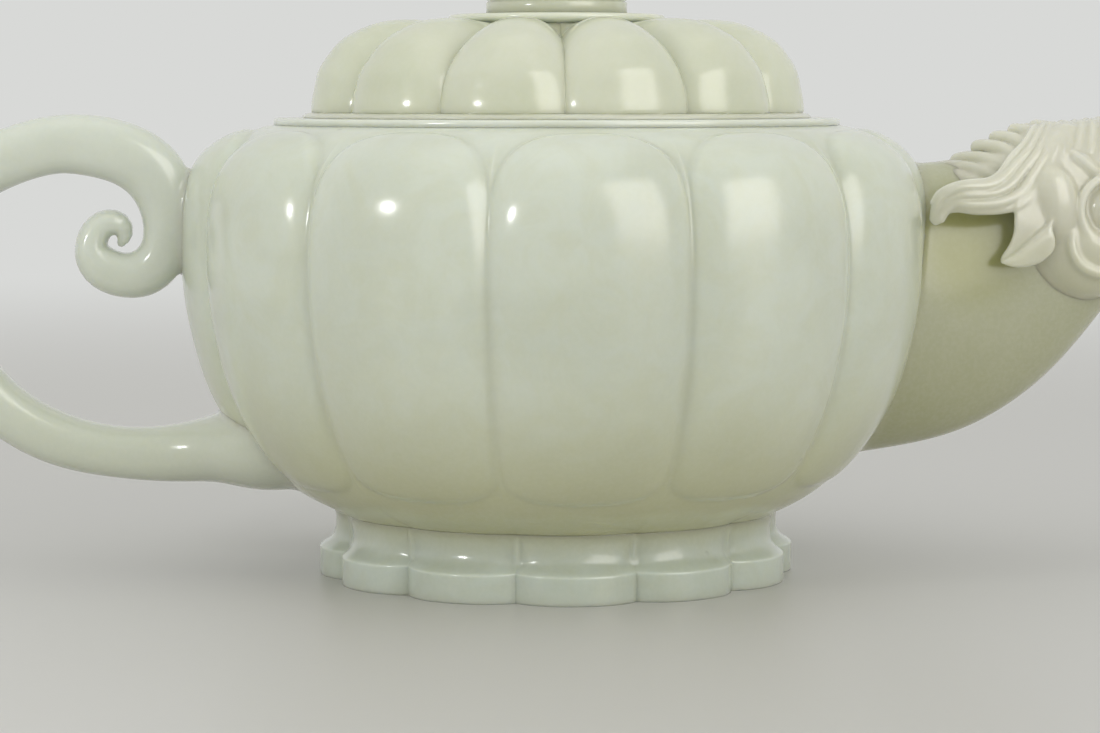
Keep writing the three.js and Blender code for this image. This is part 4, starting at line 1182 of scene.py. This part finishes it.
def beast_head():
    """The head with its mane, its two locks of hair and its ears, which are all cut from one stone."""
    def shape(places):
        places = mirrored(places)
        front = (places[:, [0, 2]] - FRONT_PLACE) @ FRONT_NORMAL
        stone = soft_join(soft_cut(head_form(places), -front, 1.2), loop_bar(places, *POUR_LIP), 1.0)
        nape = soft_join(crest_form(places, NAPE_CREST), many(places, MANE_LOCKS, 0.3), 0.3)
        stone = rooted(soft_join(stone, nape, 0.3), neck_form(places), 1.0)
        sweep = soft_join(many(places, SWEEP_CORES, 0.6), many(places, SWEEPS, 0.2), 0.2)
        stone = soft_join(soft_join(stone, sweep, 0.5), ear_form_near(places), 0.5)
        return soft_cut(np.maximum(stone, -BELLY_SINK - off_belly(places)), bore_form(places), 0.5)

    return carved(
        "beast_head_carved", shape, HEAD_ROOM, HEAD_STEP, "carved_jade",
        "beast_head", "mane", "hair_lock_left", "hair_lock_right", "ear_left", "ear_right")


belly()
collar()
foot()
lid_dome()
lid_ring()
lid_disc()
knob_stem()
knob_bud()
handle()
spout_neck()
beast_head()


# Floor, backdrop and light

BACKDROP, DAYLIGHT = linear(216, 217, 215), linear(232, 232, 229)
# Where the table begins to turn into the backdrop and where it ends, in metres from the pot's axis
TABLE_NEAR, TABLE_FAR = 0.22, 0.75
TABLE_HALF = 3000


def seen_rays(bench):
    """One for the rays that show the background itself: the camera's, mirrored and clear ones."""
    seen, glossy, clear = bench.node(
        "ShaderNodeLightPath", out=("Is Camera Ray", "Is Glossy Ray", "Is Transmission Ray"))
    return seen.maths("MAXIMUM", glossy.maths("MAXIMUM", clear))


def plain_room():
    """A pale floor that runs out into the pale background."""
    material = bpy.data.materials.new("Pale table")
    material.use_nodes = True
    bench = Bench(material.node_tree)
    place = bench.node("ShaderNodeTexCoord", out="Object")
    grain = bench.spread(bench.noise(place, 300.0, 2.0), 0.3, 0.7, 0.0, 0.04)
    colour = bench.mixed(grain, linear(196, 195, 192), linear(189, 188, 185))
    table = bench.node("ShaderNodeBsdfPrincipled", {}, {
        "Base Color": colour, "Roughness": 0.5, "Specular IOR Level": 0.3, "Coat Weight": 0.4,
        "Coat Roughness": 0.28})
    glow = bench.node("ShaderNodeEmission", {}, {"Color": BACKDROP, "Strength": 1.0})
    away = bench.node("ShaderNodeVectorMath", {"operation": "LENGTH"}, {0: place}, out="Value")
    share = bench.spread(away, TABLE_NEAR, TABLE_FAR) * seen_rays(bench)
    both = bench.node("ShaderNodeMixShader", {}, {0: share, 1: table, 2: glow})
    bench.node("ShaderNodeOutputMaterial", {}, {"Surface": both})
    points = [(TABLE_HALF * x, TABLE_HALF * y, 0) for x, y in ((-1, -1), (1, -1), (1, 1), (-1, 1))]
    floor = new_object("table_top", points, [(0, 1, 2, 3)], material, smooth=False)


def lamp(name, place, aim, size, power, colour=(1, 1, 1), shape="RECTANGLE", lights=True):
    """A soft lamp. One that doesn't light is only seen in the polished stone."""
    data = bpy.data.lights.new(name, "AREA")
    data.shape = shape
    data.size, data.size_y = size[0] * MM, size[1] * MM
    data.energy = power
    data.color = colour
    made = bpy.data.objects.new(name, data)
    bpy.context.scene.collection.objects.link(made)
    made.visible_camera = False
    made.visible_diffuse = lights
    made.location = Vector(place) * MM
    made.rotation_euler = (Vector(aim) - Vector(place)).to_track_quat("-Z", "Y").to_euler()


def light_the_room():
    """Even daylight from all sides, a window on the right, and a small lamp on the left."""
    world = bpy.data.worlds.new("Room")
    bpy.context.scene.world = world
    world.use_nodes = True
    bench = Bench(world.node_tree)
    colour = bench.mixed(seen_rays(bench), DAYLIGHT, BACKDROP)
    back = bench.node("ShaderNodeBackground", {}, {"Color": colour, "Strength": 1.0})
    bench.node("ShaderNodeOutputWorld", {}, {"Surface": back})
    window = {"place": (440, -560, 330), "aim": (0, 0, 40), "size": (560, 620)}
    lamp("window_right", power=1.2, colour=(1, 0.985, 0.95), **window)
    lamp("window_pane", power=4.2, colour=(1, 0.97, 0.9), lights=False, **window)
    lamp("small_left", (-222, -186, 120), (0, 0, 48), size=(40, 38), power=0.12, shape="ELLIPSE")
    lamp("overhead", (0, -60, 620), (0, 0, 40), size=(500, 500), power=0.2)


plain_room()
light_the_room()

bpy.context.scene.view_settings.view_transform = "Standard"
